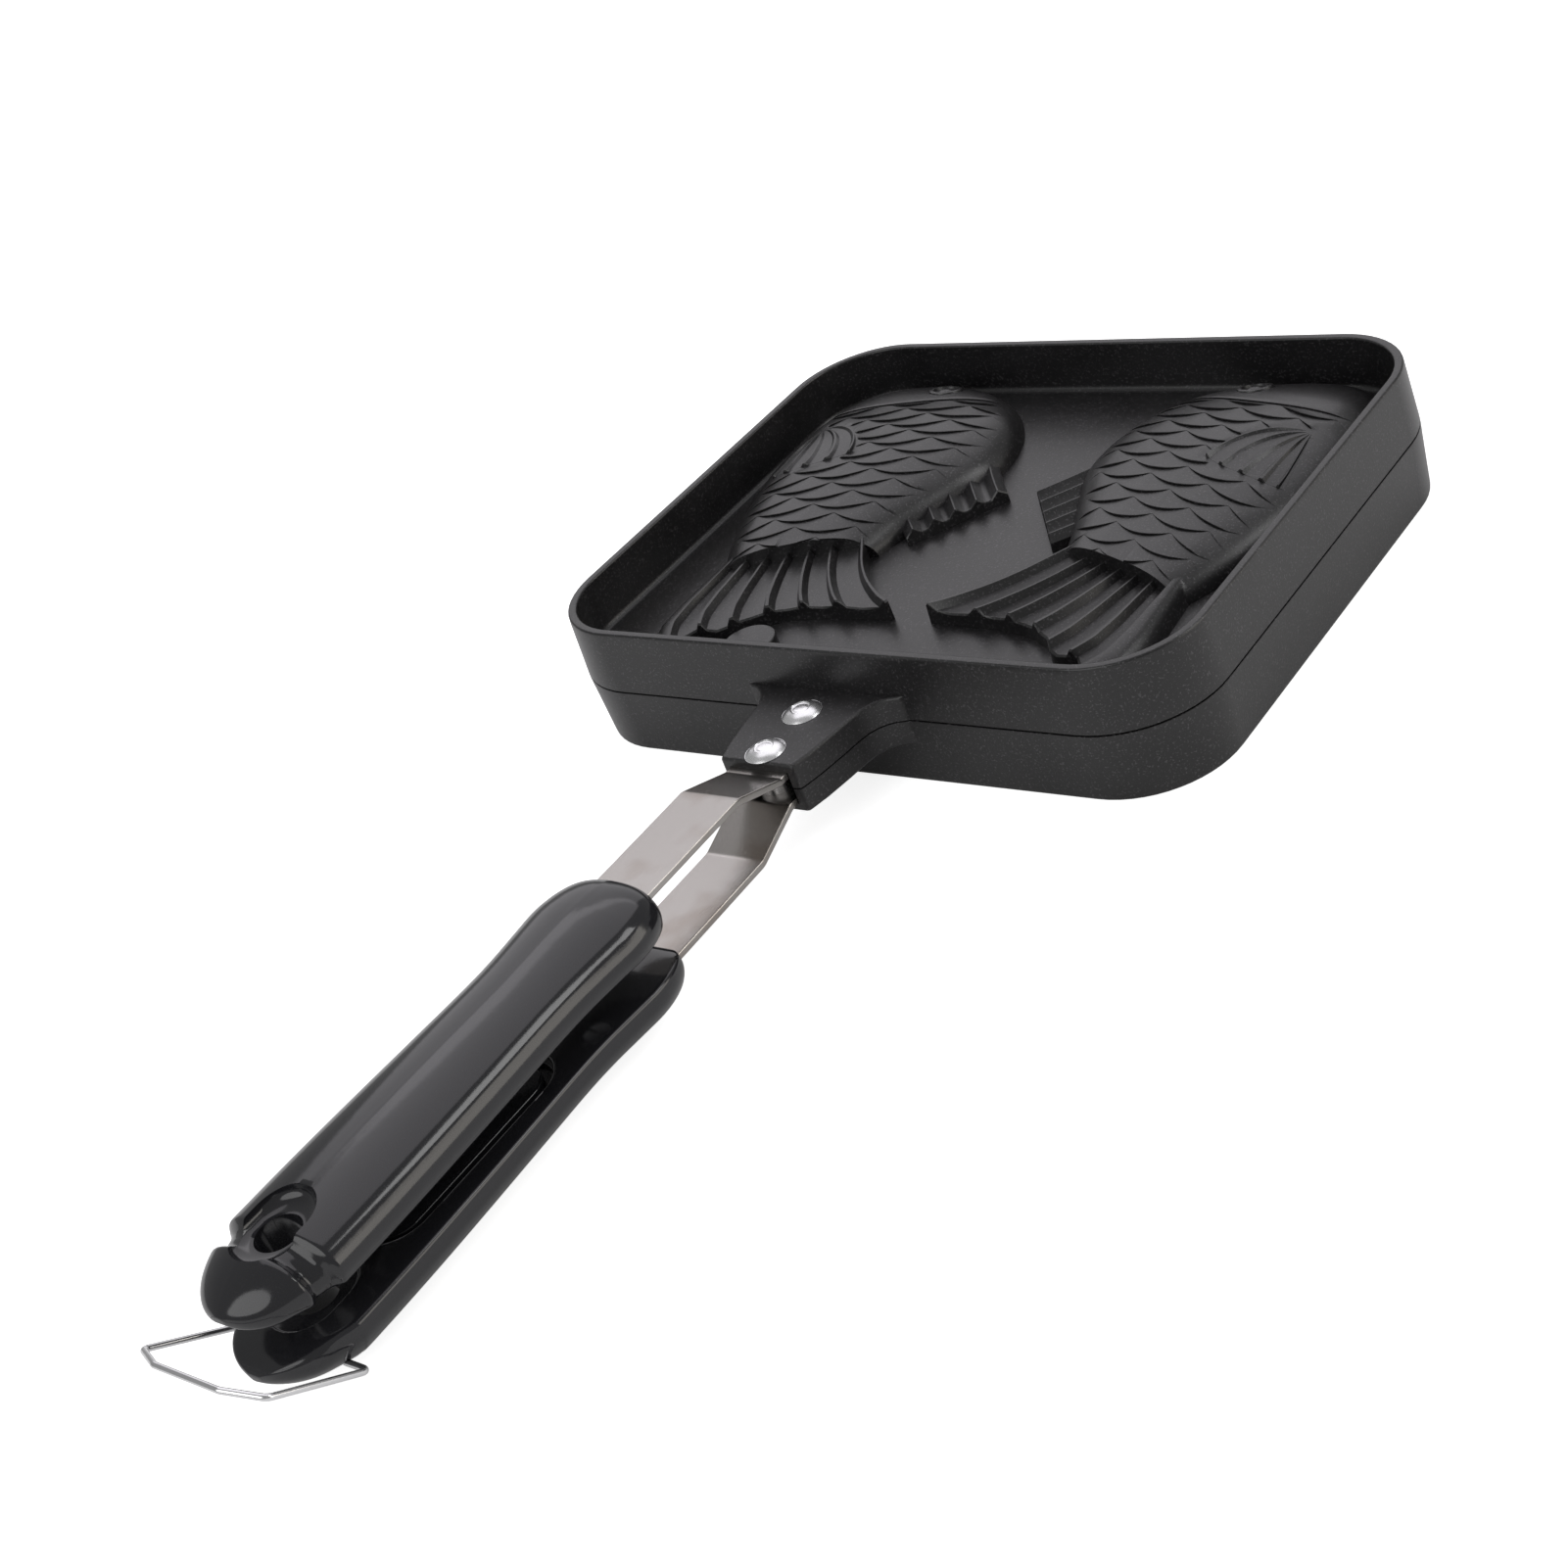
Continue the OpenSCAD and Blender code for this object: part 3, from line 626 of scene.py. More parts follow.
def fish_body(size, scale, inset, base_z, lift, columns):
    """Body of one fish with its rows of scales, from the tail's lip to the head."""
    fine, y, mid, half, share, slant = fish_rows()
    y = FISH_MIDDLE + (y - FISH_MIDDLE) * (1 - inset / FISH_HALF)
    half = half - inset
    rise = size["fish_height"] - inset - base_z
    arch = np.linspace(0, pi, 721)
    ax, az = ARCH_SIZE[0] * soft_power(np.cos(arch), ARCH), ARCH_SIZE[1] * np.sin(arch) ** ARCH
    run = np.concatenate([[0], np.cumsum(np.hypot(np.diff(ax), np.diff(az)))])
    turn = np.interp(np.linspace(0, run[-1], columns), run, arch)
    px, pz = soft_power(np.cos(turn), ARCH), np.maximum(np.sin(turn), 0) ** ARCH
    x = half[:, None] * px
    skin = np.stack([mid[:, None] + x, y[:, None] + slant[:, None] * x,
                     base_z + rise * share[:, None] * pz], 2)
    across = np.linalg.norm(np.diff(skin, axis=1), axis=2)
    reach = np.concatenate([np.zeros((len(fine), 1)), np.cumsum(across, axis=1)], 1)
    crown = np.array([np.interp(0, -px, row) for row in reach])
    u = mid[:, None] + crown[:, None] - reach
    v = skin[:, :, 1] + scale["lean"] * (skin[:, :, 0] - SCALES_X)
    normal = np.cross(np.gradient(skin, axis=1), np.gradient(skin, axis=0))
    normal /= np.maximum(np.linalg.norm(normal, axis=2, keepdims=True), 1e-9)
    normal *= np.sign(normal[len(fine) // 2, columns // 2, 2])

    # Each row is a field that is 0 on the row's edge; the first is the gill
    rows = [(v - (GILL_Y - GILL_CURVE * (1 - ((u - GILL_X) / GILL_HALF) ** 2)), None)]
    for k in SCALE_ROWS:
        phase = (u - SCALES_X - (scale["width"] / 2 if k % 2 else 0)) / scale["width"]
        rows.append((v - (SCALES_Y + scale["pitch"] * k - scale["dip"] * lobe(phase)), phase))
    edges, col, step = [(np.zeros(columns), None)], np.arange(columns), fine[1] - fine[0]
    for f, phase in rows:
        below = f <= 0
        i = np.maximum(below.argmax(0), 1)
        part = f[i - 1, col] / np.maximum(f[i - 1, col] - f[i, col], 1e-9)
        t = np.where(below.any(0), fine[i - 1] + np.clip(part, 0, 1) * step, fine[-1])
        bulge = np.full(columns, 0.7) if phase is None else 0.06 + 0.94 * lobe(phase[i, col]) ** 0.8
        edges.append((np.maximum(t, edges[-1][0]), bulge))
    edges.append((np.full(columns, fine[-1]), np.full(columns, 0.6)))

    fade = 1 - ease(0.66, 0.88, np.abs(px))

    def ring(t, height):
        i = np.clip((t / step).astype(int), 0, len(fine) - 2)
        f = (t / step - i)[:, None]
        at = skin[i, col] * (1 - f) + skin[i + 1, col] * f
        way = normal[i, col] * (1 - f) + normal[i + 1, col] * f
        made = at + way * (height * fade * (1 - inside(FAN_FIELD, at, 0.5)))[:, None]
        made[0, 2] = made[-1, 2] = base_z
        return made

    rings, last = [], np.full(columns, -1.0)
    for number, ((head, _), (tail, bulge)) in enumerate(zip(edges[:-1], edges[1:])):
        room = tail - head
        high = lift * bulge * ease(0.02, 0.25, room)
        spots = (0, 0.3, 0.65, 0.9, 0.985, 1.0)
        if number == 0:
            spots = tuple(np.linspace(0, 0.9, 22)) + (0.97, 0.995, 1.0)
        for spot in spots:
            t = head + room * spot
            rim = 1.0 if spot < 1 else 0.72
            height = high * rim * (spot ** 1.25 if number else ease(0.72, 0.98, spot))
            if spot == 0 and number:
                t = t - 0.02 * fade
            t = np.clip(np.maximum(t, last - 0.03), 0, fine[-1])
            rings.append(ring(t, height))
            last = t
    return grid_block(np.array(rings), base_z - 0.4)


def inside(outline, points, soft):
    """1 inside a convex outline that runs anticlockwise, easing to 0 at its edge."""
    line = np.asarray(outline, float)
    way = np.roll(line, -1, 0) - line
    way /= np.linalg.norm(way, axis=1, keepdims=True)
    gap = [w[0] * (points[..., 1] - a[1]) - w[1] * (points[..., 0] - a[0]) for a, w in zip(line, way)]
    return ease(0, soft, np.min(gap, 0))


def body_height(size, x, y):
    """Height of the smooth fish body over places in the plan."""
    _, row_y, mid, half, share, slant = fish_rows()
    found = np.empty(x.shape)
    for at in np.ndindex(x.shape):
        i = np.argmin(np.abs(row_y + slant * (x[at] - mid) - y[at]))
        q = min(abs(x[at] - mid[i]) / half[i], 1.0)
        found[at] = FISH_FOOT + (size["fish_height"] - FISH_FOOT) * share[i] * (1 - q ** (2 / ARCH)) ** (ARCH / 2)
    return found


def pectoral_fan(size, drop, high):
    """Side fin of a fish: thin curved ridges that spread from one point over the body."""
    marks = [(-0.6, 0.0)]
    for k in range(5):
        marks += [(k - 0.2, 0.0), (k - 0.07, 1.0), (k + 0.07, 1.0), (k + 0.2, 0.0)]
    marks = np.array(marks + [(4.6, 0.0)])
    u, lift = marks[:, 0], marks[:, 1]
    order = np.arange(5)
    ends = np.stack([np.interp(u, order, [e[k] for e in FAN_ENDS]) for k in (0, 1)], 1)
    bends = np.stack([np.interp(u, order, [e[k] for e in FAN_BENDS]) for k in (0, 1)], 1)
    ends[0], ends[-1] = ends[0] + (-0.9, 0.6), ends[-1] + (0.9, 0.2)
    v = np.concatenate([np.linspace(0.05, 0.97, 13), [0.99, 1.0]])[:, None, None]
    flat = np.array(FAN_APEX) * (1 - v) ** 2 + bends[None] * 2 * v * (1 - v) + ends[None] * v ** 2
    z = body_height(size, flat[..., 0], flat[..., 1])
    grow = ease(0.0, 0.3, v[:, :, 0]) * (0.8 + 0.35 * ease(0.85, 0.97, v[:, :, 0]))
    z = z - drop + 0.04 + high * lift[None] * grow
    z[-1] = z[-1] - high * 0.8 * lift
    points, faces = grid_block(np.dstack([flat, z]), 0)
    base = points[z.size:]
    base[:, 2] = body_height(size, base[:, 0], base[:, 1]) - drop - 1.2
    return points, faces


def eye_ring(size, drop, high):
    """Round eye of a fish: a ring round a low dome."""
    radii = np.array([0.05, 0.9, 1.7, 2.0, 2.6, 2.95, 3.4, 3.75, 4.2])
    lift = np.array([0.85, 0.7, 0.3, 0.0, 0.0, 0.9, 1.0, 0.8, -0.25])
    across, onward = circle(36)
    x, y = EYE_AT[0] + radii[:, None] * across, EYE_AT[1] + radii[:, None] * onward
    top = body_height(size, x, y) - drop
    rings = [np.stack([x[k], y[k], top[k] + high * lift[k]], 1) for k in range(len(radii))]
    rings.append(np.stack([x[-1], y[-1], top[-1] - 1.5], 1))
    return loft(rings)


def pleat_columns(ridges, back, floor):
    """Places across a fan of folds, and how high each lies: 0 in a valley, 1 on a ridge."""
    marks = []
    if ridges[0] > 0.04:
        marks.append((0.0, 0.1))
    for k, ridge in enumerate(ridges):
        marks += [(ridge - 0.006, 0.98), (ridge + 0.006, 1.0)]
        if k + 1 < len(ridges):
            step = ridges[k + 1] - ridge
            marks += [(ridge + step * back, floor), (ridge + step * 0.5, floor - 0.12),
                      (ridge + step * (1 - back), floor)]
    marks.append((1.0, 0.1))
    return np.array(sorted(marks))


def folded_fan(root, inner, outer, end, ridges, low, high, base_z, spread, rows=13, edge=0.35, back=0.17,
               floor=0.34, flank=()):
    """A fan of folds between four edges, closed down to a flat base."""
    marks = pleat_columns(ridges, back, floor)
    if flank:
        marks = np.array([m for m in marks.tolist() if m[0] < flank[0][0]] + list(flank))
    u = marks[:, 0]
    v = np.concatenate([np.linspace(0, 0.97, rows), [0.985, 1.0]])
    r, e = along(root, u), along(end, u)
    i, o = along(inner, v, 2), along(outer, v, 1)
    U, V = u[None, :, None], v[:, None, None]
    first = i[:, None] - ((1 - V) * r[0] + V * e[0])
    last = o[:, None] - ((1 - V) * r[-1] + V * e[-1])
    flat = (1 - V) * r[None] + V * e[None] + (1 - U) ** 2.5 * first + U ** 2.5 * last
    z = low + (high - low) * marks[:, 1][None, :] * np.ones(len(v))[:, None]
    z[-1] -= edge
    return grid_block(np.dstack([flat, z]), base_z, spread)


def inner_lines(lines, gap):
    """Draws the four edges of a fan inwards for the hollow under it."""
    lines = [np.asarray(line, float) for line in lines]
    ways = [np.mean(np.concatenate(lines), 0) - line for line in lines]
    return [line + way / np.linalg.norm(way, axis=1, keepdims=True) * gap for line, way in zip(lines, ways)]


def at_fish(shape, side, middle):
    """The shape of one fish on either side of the line between them."""
    points, faces = shape
    return points * (side, 1, 1) + (middle, 0, 0), faces


def tab_outline(front_y):
    """Outline of the handle tab, flared where it leaves the skirt."""
    half = [(21, 1.2), (18.2, -0.5), (16.6, -1.0), (15.2, -1.9), (13.9, -3.2), (12.8, -5.2), (12.2, -7.6),
            (11.5, -12.3), (10.3, -18.8), (9.2, -22.9), (8.9, -23.6), (8.2, -TAB_REACH)]
    points = [(x, front_y + y) for x, y in half] + [(-x, front_y + y) for x, y in reversed(half)]
    return points[::-1]


def knuckle_shapes(size, x0, x1):
    """Barrel of a hinge leaf and its arm to the wall."""
    r, c = size["knuckle"] / 2, 0.35
    barrel = lathe([(r - c, x0), (r, x0 + c), (r, x1 - c), (r - c, x1)], 40, (0, HINGE_Y, 0), "x")
    arm = [(x0, ARM_FROM), (x1, ARM_FROM), (x1, HINGE_Y), (x0, HINGE_Y)]
    return [barrel, rounded_prism(arm, SEAM, r - 0.02, 0.3)]


def cast_half(size, scale, name, side_z):
    """One half of the pan as a single casting."""
    front_y = -size["depth"] / 2
    mid, shell = size["middle"], size["shell"]
    outside, hollows = [], []
    body = fish_body(size, scale, 0, FISH_FOOT, scale["lift"], scale["columns"])
    dent = fish_body(size, scale, shell, -0.85, scale["lift"] * 0.6, scale["columns"] - 28)
    high, foot, under = size["tail_height"], 1.2, -0.6
    tail = folded_fan(*TAIL, TAIL_RIDGES, high - 2.3, high, foot, 0.25, flank=TAIL_FLANK)
    tail_dent = folded_fan(*inner_lines(TAIL, 1.9), TAIL_RIDGES, 2.6, 3.6, under, 0.2)
    high = size["fin_height"]
    fin = folded_fan(*FIN, FIN_RIDGES, high - 1.6, high, foot, 0.2, **FIN_FOLDS)
    fin_dent = folded_fan(*inner_lines(FIN, 2.0), FIN_RIDGES, 2.2, 3.0, under, 0.1, **FIN_FOLDS)
    fan, fan_dent = pectoral_fan(size, 0, 0.6), pectoral_fan(size, shell, 0.5)
    eye, eye_dent = eye_ring(size, 0, 0.7), eye_ring(size, shell, 0.6)
    for made, groups in ((outside, ((body,), (tail, fan, eye), (fin,))),
                         (hollows, ((dent,), (tail_dent, fan_dent, eye_dent), (fin_dent,)))):
        made += [together([at_fish(shape, side, mid) for side in (1, -1) for shape in shapes]) for shapes in groups]
    px, py = PAD_AT
    outside.append(together([rounded_prism(tab_outline(front_y), SEAM, size["tab_height"], 0.7),
                             rounded_prism(disc_outline(mid + px, py, size["pad"] / 2), 0.5, PAD_HEIGHT, 0.4)]))
    if side_z > 0:
        middles, half = [s * HINGE_X for s in (-1, 1)], LEAF_HALF
    else:
        half = OUTER_LEAF / 2
        beside = LEAF_HALF + LEAF_GAP + half
        middles = [s * HINGE_X + e * beside for s in (-1, 1) for e in (-1, 1)]
    pairs = [knuckle_shapes(size, x - half, x + half) for x in middles]
    outside += [together(shapes) for shapes in zip(*pairs)]
    hollows.append(rounded_prism(block_outline(STRAP_SEAT / 2, front_y - TAB_REACH - 2.1, front_y - 1.5),
                                 -0.6, size["tab_height"] - TAB_ROOF, 0.15))
    bores = [rounded_prism(disc_outline(0, front_y - y, RIVET_BORE, 32), 0, 7, 0.05)
             for y in (RIVET_FIRST, RIVET_FIRST + RIVET_STEP)]
    reach = size["width"] / 2
    pin_bore = lathe([(PIN_BORE, -reach), (PIN_BORE, reach)], 32, (0, HINGE_Y, 0), "x")
    hollows.append(together(bores + [pin_bore]))
    piece = solid(name, *on_half(tray(size, SKIRT[side_z]), side_z), merge=False)
    add, cut = ([solid(f"{name}_{way}_{k}", *on_half(shape, side_z), merge=False) for k, shape in enumerate(shapes)]
                for way, shapes in (("add", outside), ("cut", hollows)))
    return carve(piece, add, cut)


class PAN_OT_castings(bpy.types.Operator):
    """Builds the two cast halves with their fish, tabs and hinge leaves"""
    bl_idname = "pan.castings"
    bl_label = "Castings"

    def execute(self, context):
        scale = sizes(context.scene.pan_scales)
        size, _, _, finish = wanted(context, "coating")
        for half, body, side in HALVES:
            piece = cast_half(size, scale, f"{half}_casting", side)
            finish_piece(piece, finish, body, "nonstick_casting", f"{half}_plate")
        return {"FINISHED"}


# ---------------------------------------------------------------- straps and rivets

def bent_line(corners, radius, steps=8):
    """A line through corners in a side view, with each bend rounded."""
    made = [Vector(corners[0])]
    for a, b, c in zip(corners[:-2], corners[1:-1], corners[2:]):
        a, b, c = Vector(a), Vector(b), Vector(c)
        u, v = (a - b).normalized(), (c - b).normalized()
        turn = pi - u.angle(v)
        cut = radius * abs(sin(turn / 2) / cos(turn / 2))
        p, q = b + u * cut, b + v * cut
        for k in range(steps + 1):
            f = k / steps
            made.append(p * (1 - f) ** 2 + b * 2 * f * (1 - f) + q * f ** 2)
    made.append(Vector(corners[-1]))
    return made


def strap_shape(size, front_y, top):
    """Steel strap: flat in the tab, a ramp, then flat into the handle."""
    t, out = size["strap_thickness"], size["strap_height"]
    tip = front_y - TAB_REACH
    grip = front_y - size["start"]
    corners = [(front_y - 1.65, top - t), (tip - RAMP[0], top - t), (tip - RAMP[1], out - t),
               (grip - STRAP_IN_GRIP, out - t)]
    line = bent_line(corners, STRAP_BEND)
    side, edge = size["strap_width"] / 2 - STRAP_EDGE, STRAP_EDGE
    section = rounded_box(-side, side, edge, t - edge, edge, 3)
    rings = []
    for k, at in enumerate(line):
        way = (line[min(k + 1, len(line) - 1)] - line[max(k - 1, 0)]).normalized()
        up = Vector((way.y, -way.x))
        rings.append([(x, at.x + up.x * z, at.y + up.y * z) for x, z in section])
    return loft(rings)


class PAN_OT_straps(bpy.types.Operator):
    """Builds the bent steel straps between the castings and the handles"""
    bl_idname = "pan.straps"
    bl_label = "Straps"

    def execute(self, context):
        plate, size, _, finish = wanted(context, "satin")
        front_y = -plate["depth"] / 2
        holes = ((RIVET_FIRST, RIVET_BORE), (RIVET_FIRST + RIVET_STEP, RIVET_BORE),
                 (size["start"] + size["screw"], SCREW_BORE))
        for half, body, side in HALVES:
            shape = strap_shape(size, front_y, plate["tab_height"] - TAB_ROOF)
            piece = solid(f"{half}_steel_strap", *on_half(shape, side))
            cut = [rounded_prism(disc_outline(0, front_y - y, r, 32), -1, 10, 0.05) for y, r in holes]
            carve(piece, (), [solid(f"{half}_hole", *on_half(shape, side)) for shape in cut])
            finish_piece(piece, finish, body, "satin_steel", f"{half}_strap")
        return {"FINISHED"}


class Grower(Nodes):
    """A geometry tree with a named input for each of its sizes."""

    def __init__(self, name, inputs):
        super().__init__(bpy.data.node_groups.new(name, "GeometryNodeTree"))
        add = self.tree.interface.new_socket
        for way in ("INPUT", "OUTPUT"):
            add("Geometry", in_out=way, socket_type="NodeSocketGeometry")
        self.keys = {label: add(label, in_out="INPUT", socket_type="NodeSocket" + kind).identifier
                     for label, kind in inputs.items()}
        sockets = self.tree.nodes.new("NodeGroupInput").outputs
        self.given = {label: Value(self, sockets[label]) for label in ("Geometry", *inputs)}

    def end(self, made):
        """Ends the tree with Realize Instances and Set Material."""
        real = self.node("GeometryNodeRealizeInstances", {}, {0: made})
        paint = self.node("GeometryNodeSetMaterial", {}, {"Geometry": real, "Material": self.given["Material"]})
        self.tree.links.new(paint.socket, self.tree.nodes.new("NodeGroupOutput").inputs[0])
        return self

    def grow(self, piece, values):
        """Gives a piece this tree with its values and turns the result into a mesh."""
        step = piece.modifiers.new("shape", "NODES")
        step.node_group = self.tree
        for label, value in values.items():
            step[self.keys[label]] = value
        return settle(piece)


def row_tree():
    """Repeats the piece it is given at even steps along a line."""
    t = Grower("row_of_pieces", {"Count": "Int", "Step": "Vector", "Material": "Material"})
    line = t.node("GeometryNodeMeshLine", {}, {"Count": t.given["Count"], "Offset": t.given["Step"]})
    return t.end(t.node("GeometryNodeInstanceOnPoints", {}, {"Points": line, "Instance": t.given["Geometry"]}))


def rivet_shape(size, plate):
    """Domed rivet with a ring and a dimple on its head, and a flat head inside."""
    head, top = size["rivet_head"] / 2, plate["tab_height"]
    rise = 1.3
    dome = [(head * f, top + rise * (1 - f ** 3.2)) for f in (0.985, 0.95, 0.88, 0.78, 0.68, 0.58)]
    ring = [(head * f, top + rise * up) for f, up in (
        (0.50, 0.93), (0.46, 0.80), (0.42, 0.76), (0.37, 0.80), (0.32, 0.88), (0.22, 0.92), (0, 0.94))]
    inner, hold = 0.35, top - TAB_ROOF - size["strap_thickness"]
    stem = RIVET_BORE - 0.02
    profile = [(0, inner), (head - 0.75, inner), (head - 0.4, inner + 0.3), (head - 0.4, hold), (stem, hold),
               (stem, top), (head - 0.12, top), (head, top + 0.08)]
    return profile + dome + ring


class PAN_OT_rivets(bpy.types.Operator):
    """Sets the rivets in a row along each tab"""
    bl_idname = "pan.rivets"
    bl_label = "Rivets"

    def execute(self, context):
        plate, size, _, finish = wanted(context, "rivet")
        row = row_tree()
        first = -plate["depth"] / 2 - RIVET_FIRST
        shape = lathe(rivet_shape(size, plate), 48, (0, first, 0))
        for half, body, side in HALVES:
            piece = solid(f"{half}_rivets", *on_half(shape, side))
            row.grow(piece, {"Count": 2, "Step": (0, -RIVET_STEP * MM, 0), "Material": finish})
            finish_piece(piece, finish, body, "bright_aluminium", f"{half}_front_rivet", f"{half}_rear_rivet")
        return {"FINISHED"}


# ---------------------------------------------------------------- handles

# Handle sections, front first: share of the length, share of the width, inner lift, crown drop
GRIP_ROWS = (
    (0.000, 0.46, 1.70, 3.60), (0.005, 0.60, 1.05, 2.60), (0.014, 0.71, 0.60, 1.80), (0.028, 0.81, 0.30, 1.15),
    (0.048, 0.89, 0.12, 0.70), (0.075, 0.95, 0.03, 0.40), (0.110, 0.975, 0.00, 0.25), (0.159, 0.945, 0.00, 0.35),
    (0.232, 0.90, 0.00, 0.55), (0.305, 0.89, 0.00, 0.60), (0.429, 0.92, 0.00, 0.45), (0.585, 0.955, 0.00, 0.20),
    (0.720, 0.975, 0.00, 0.05), (0.855, 0.97, 0.00, 0.00), (0.880, 0.945, 0.00, 0.05), (0.898, 0.885, 0.00, 0.22),
    (0.915, 0.825, 0.02, 0.60), (0.934, 0.765, 0.10, 1.20), (0.953, 0.685, 0.30, 2.05), (0.970, 0.575, 0.65, 3.05),
    (0.984, 0.435, 1.15, 4.10), (0.994, 0.27, 1.80, 5.00), (1.000, 0.08, 2.70, 5.80))
# Half of a section, as shares of the half width and of the height: crown, crease, side, lip, inner face
GRIP_SECTION = (
    (0.0, 1.0), (0.25, 0.985), (0.48, 0.935), (0.66, 0.855), (0.79, 0.755), (0.875, 0.655), (0.922, 0.58),
    (0.922, 0.555), (0.940, 0.53), (0.963, 0.46), (0.983, 0.39), (0.997, 0.32), (1.0, 0.25), (0.997, 0.18),
    (0.984, 0.13), (0.970, 0.115), (0.976, 0.09), (0.968, 0.03), (0.945, 0.0), (0.80, 0.0), (0.40, 0.0), (0.0, 0.0))
# The same for the ball at the end, which has no crease
BALL_SECTION = (
    (0.0, 1.0), (0.25, 0.985), (0.48, 0.93), (0.68, 0.84), (0.84, 0.71), (0.95, 0.55), (0.995, 0.40), (1.0, 0.30),
    (0.985, 0.18), (0.95, 0.08), (0.88, 0.02), (0.78, 0.0), (0.40, 0.0), (0.0, 0.0))
BALL_FROM, BALL_OVER = 0.895, 0.05
# Wire groove of the upper handle: distance from the end, half width, depth and share of the width
GROOVE_AT, GROOVE_HALF, GROOVE_DEEP, GROOVE_NARROW = 12.4, 2.2, 1.8, 0.15
# Mouth of the hanging hole and pocket of a handle: width and length
MOUTH, POCKET = (12.5, 16.5), (16.4, 47.4)
# Bowl of the mouth, from the hole outwards: share of the way to the mouth's edge, depth
BOWL = ((0.0, 2.9), (0.35, 2.75), (0.65, 2.4), (0.83, 1.9), (0.93, 1.35), (0.975, 0.8), (0.995, 0.35),
        (1.02, 0.08), (1.07, -0.02), (1.15, -0.12), (1.4, -0.3))


def grip_shape(size, front_y, groove):
    """Smooth body of a handle: a low crown, a crease, upright sides with a lip, and a ball at the end."""
    shares = np.concatenate([np.linspace(*run) for run in (
        (0, 0.1, 30), (0.11, 0.84, 64), (0.845, 0.93, 40), (0.934, 1, 30))])
    place = np.interp(shares, [row[0] for row in GRIP_ROWS], range(len(GRIP_ROWS)))
    share, width, lift, drop = spline(GRIP_ROWS, place).T
    true_size = (14, 9.5)
    grip, ball = (along(np.array(half) * true_size, 64, 2) / true_size for half in (GRIP_SECTION, BALL_SECTION))
    rings = []
    for s, w, up, down in zip(share, width, lift, drop):
        back = (1 - s) * size["length"]
        dent = groove * np.exp(-((back - GROOVE_AT) / GROOVE_HALF) ** 4)
        half = grip + ease(BALL_FROM, BALL_FROM + BALL_OVER, s) * (ball - grip)
        section = np.concatenate([half, half[-2:0:-1] * (-1, 1)])
        x = size["half_width"] * (w - GROOVE_NARROW * dent) * section[:, 0]
        z0, z1 = size["inner"] + max(up, 0), size["crown"] - max(down, 0) - GROOVE_DEEP * dent
        y = front_y - size["start"] - s * size["length"]
        rings.append(np.stack([x, np.full(len(section), y), z0 + (z1 - z0) * section[:, 1]], 1))
    return loft(rings)


def grip_cuts(size, front_y):
    """Everything that is cut out of a handle: slot, screw bore, hanging hole, its mouths and the pocket."""
    start = front_y - size["start"]
    hang_y, screw_y = start - size["length"] + HANG_IN, start - size["screw"]
    top, inner, hole = size["strap_height"], size["inner"], size["hole"]
    cut = [rounded_prism(block_outline(size["strap_width"] / 2 + 0.1, start - STRAP_IN_GRIP - 0.1, start + 2),
                         top - size["strap_thickness"] - 0.1, top + 0.1, 0.1),
           rounded_prism(disc_outline(0, screw_y, SCREW_BORE, 32), 1, 10.5, 0.05),
           stack([(disc_outline(0, screw_y, r), z) for r, z in (
               (3.6, 2.0), (3.4, inner), (3.0, inner + 0.4), (3.0, inner + 1.9))]),
           stack([(disc_outline(0, hang_y, hole / 2, 48), z) for z in (0, 16)])]
    start_width = hole + 0.6
    cut.append(stack([(oval_outline(hang_y, *(start_width + (reach - start_width) * f for reach in MOUTH)),
                       size["crown"] - depth) for f, depth in BOWL]))
    lip = ((0.5, 2.0), (0.5, inner - 0.05), (0.27, inner + 0.03), (0.08, inner + 0.2), (0.0, inner + 0.45))
    for y, (wide, long), deep in ((hang_y, MOUTH, 0.6), (start - size["pocket"], POCKET, 2.4)):
        walls = lip + ((-0.1, inner + deep - 0.25), (-0.4, inner + deep))
        cut.append(stack([(oval_outline(y, wide + 2 * out, long + 2 * out), z) for out, z in walls]))
    return cut


def pocket_insert(size, front_y):
    """Raised field in the pocket of a handle, with eased edges."""
    y = front_y - size["start"] - size["pocket"]
    return stack([(oval_outline(y, wide, wide + POCKET[1] - POCKET[0]), size["inner"] + low) for wide, low in (
        (11.6, 3.4), (11.6, 1.6), (11.45, 1.35), (11.1, 1.18), (10.6, 1.1))])


class PAN_OT_handles(bpy.types.Operator):
    """Builds the two moulded handles"""
    bl_idname = "pan.handles"
    bl_label = "Handles"

    def execute(self, context):
        plate, size, wire, finish = wanted(context, "phenolic")
        front_y = -plate["depth"] / 2
        pivot = (0, front_y - size["start"] - size["length"] + PIVOT_IN, -wire["pivot_depth"])
        for half, body, side in HALVES:
            piece = solid(f"{half}_grip", *on_half(grip_shape(size, front_y, 1 if side > 0 else 0), side))
            cut = [solid(f"{half}_cut", *on_half(shape, side)) for shape in grip_cuts(size, front_y)]
            if side < 0:
                for s in (-1, 1):
                    bore = [(WIRE_BORE, s * 9), (WIRE_BORE, s * 21)]
                    cut.append(solid("pivot_bore", *lathe(bore, 24, pivot, "x")))
            carve(piece, (), cut)
            carve(piece, [solid(f"{half}_insert", *on_half(pocket_insert(size, front_y), side))])
            finish_piece(piece, finish, body, "black_phenolic", f"{half}_handle", angle=48)
        return {"FINISHED"}


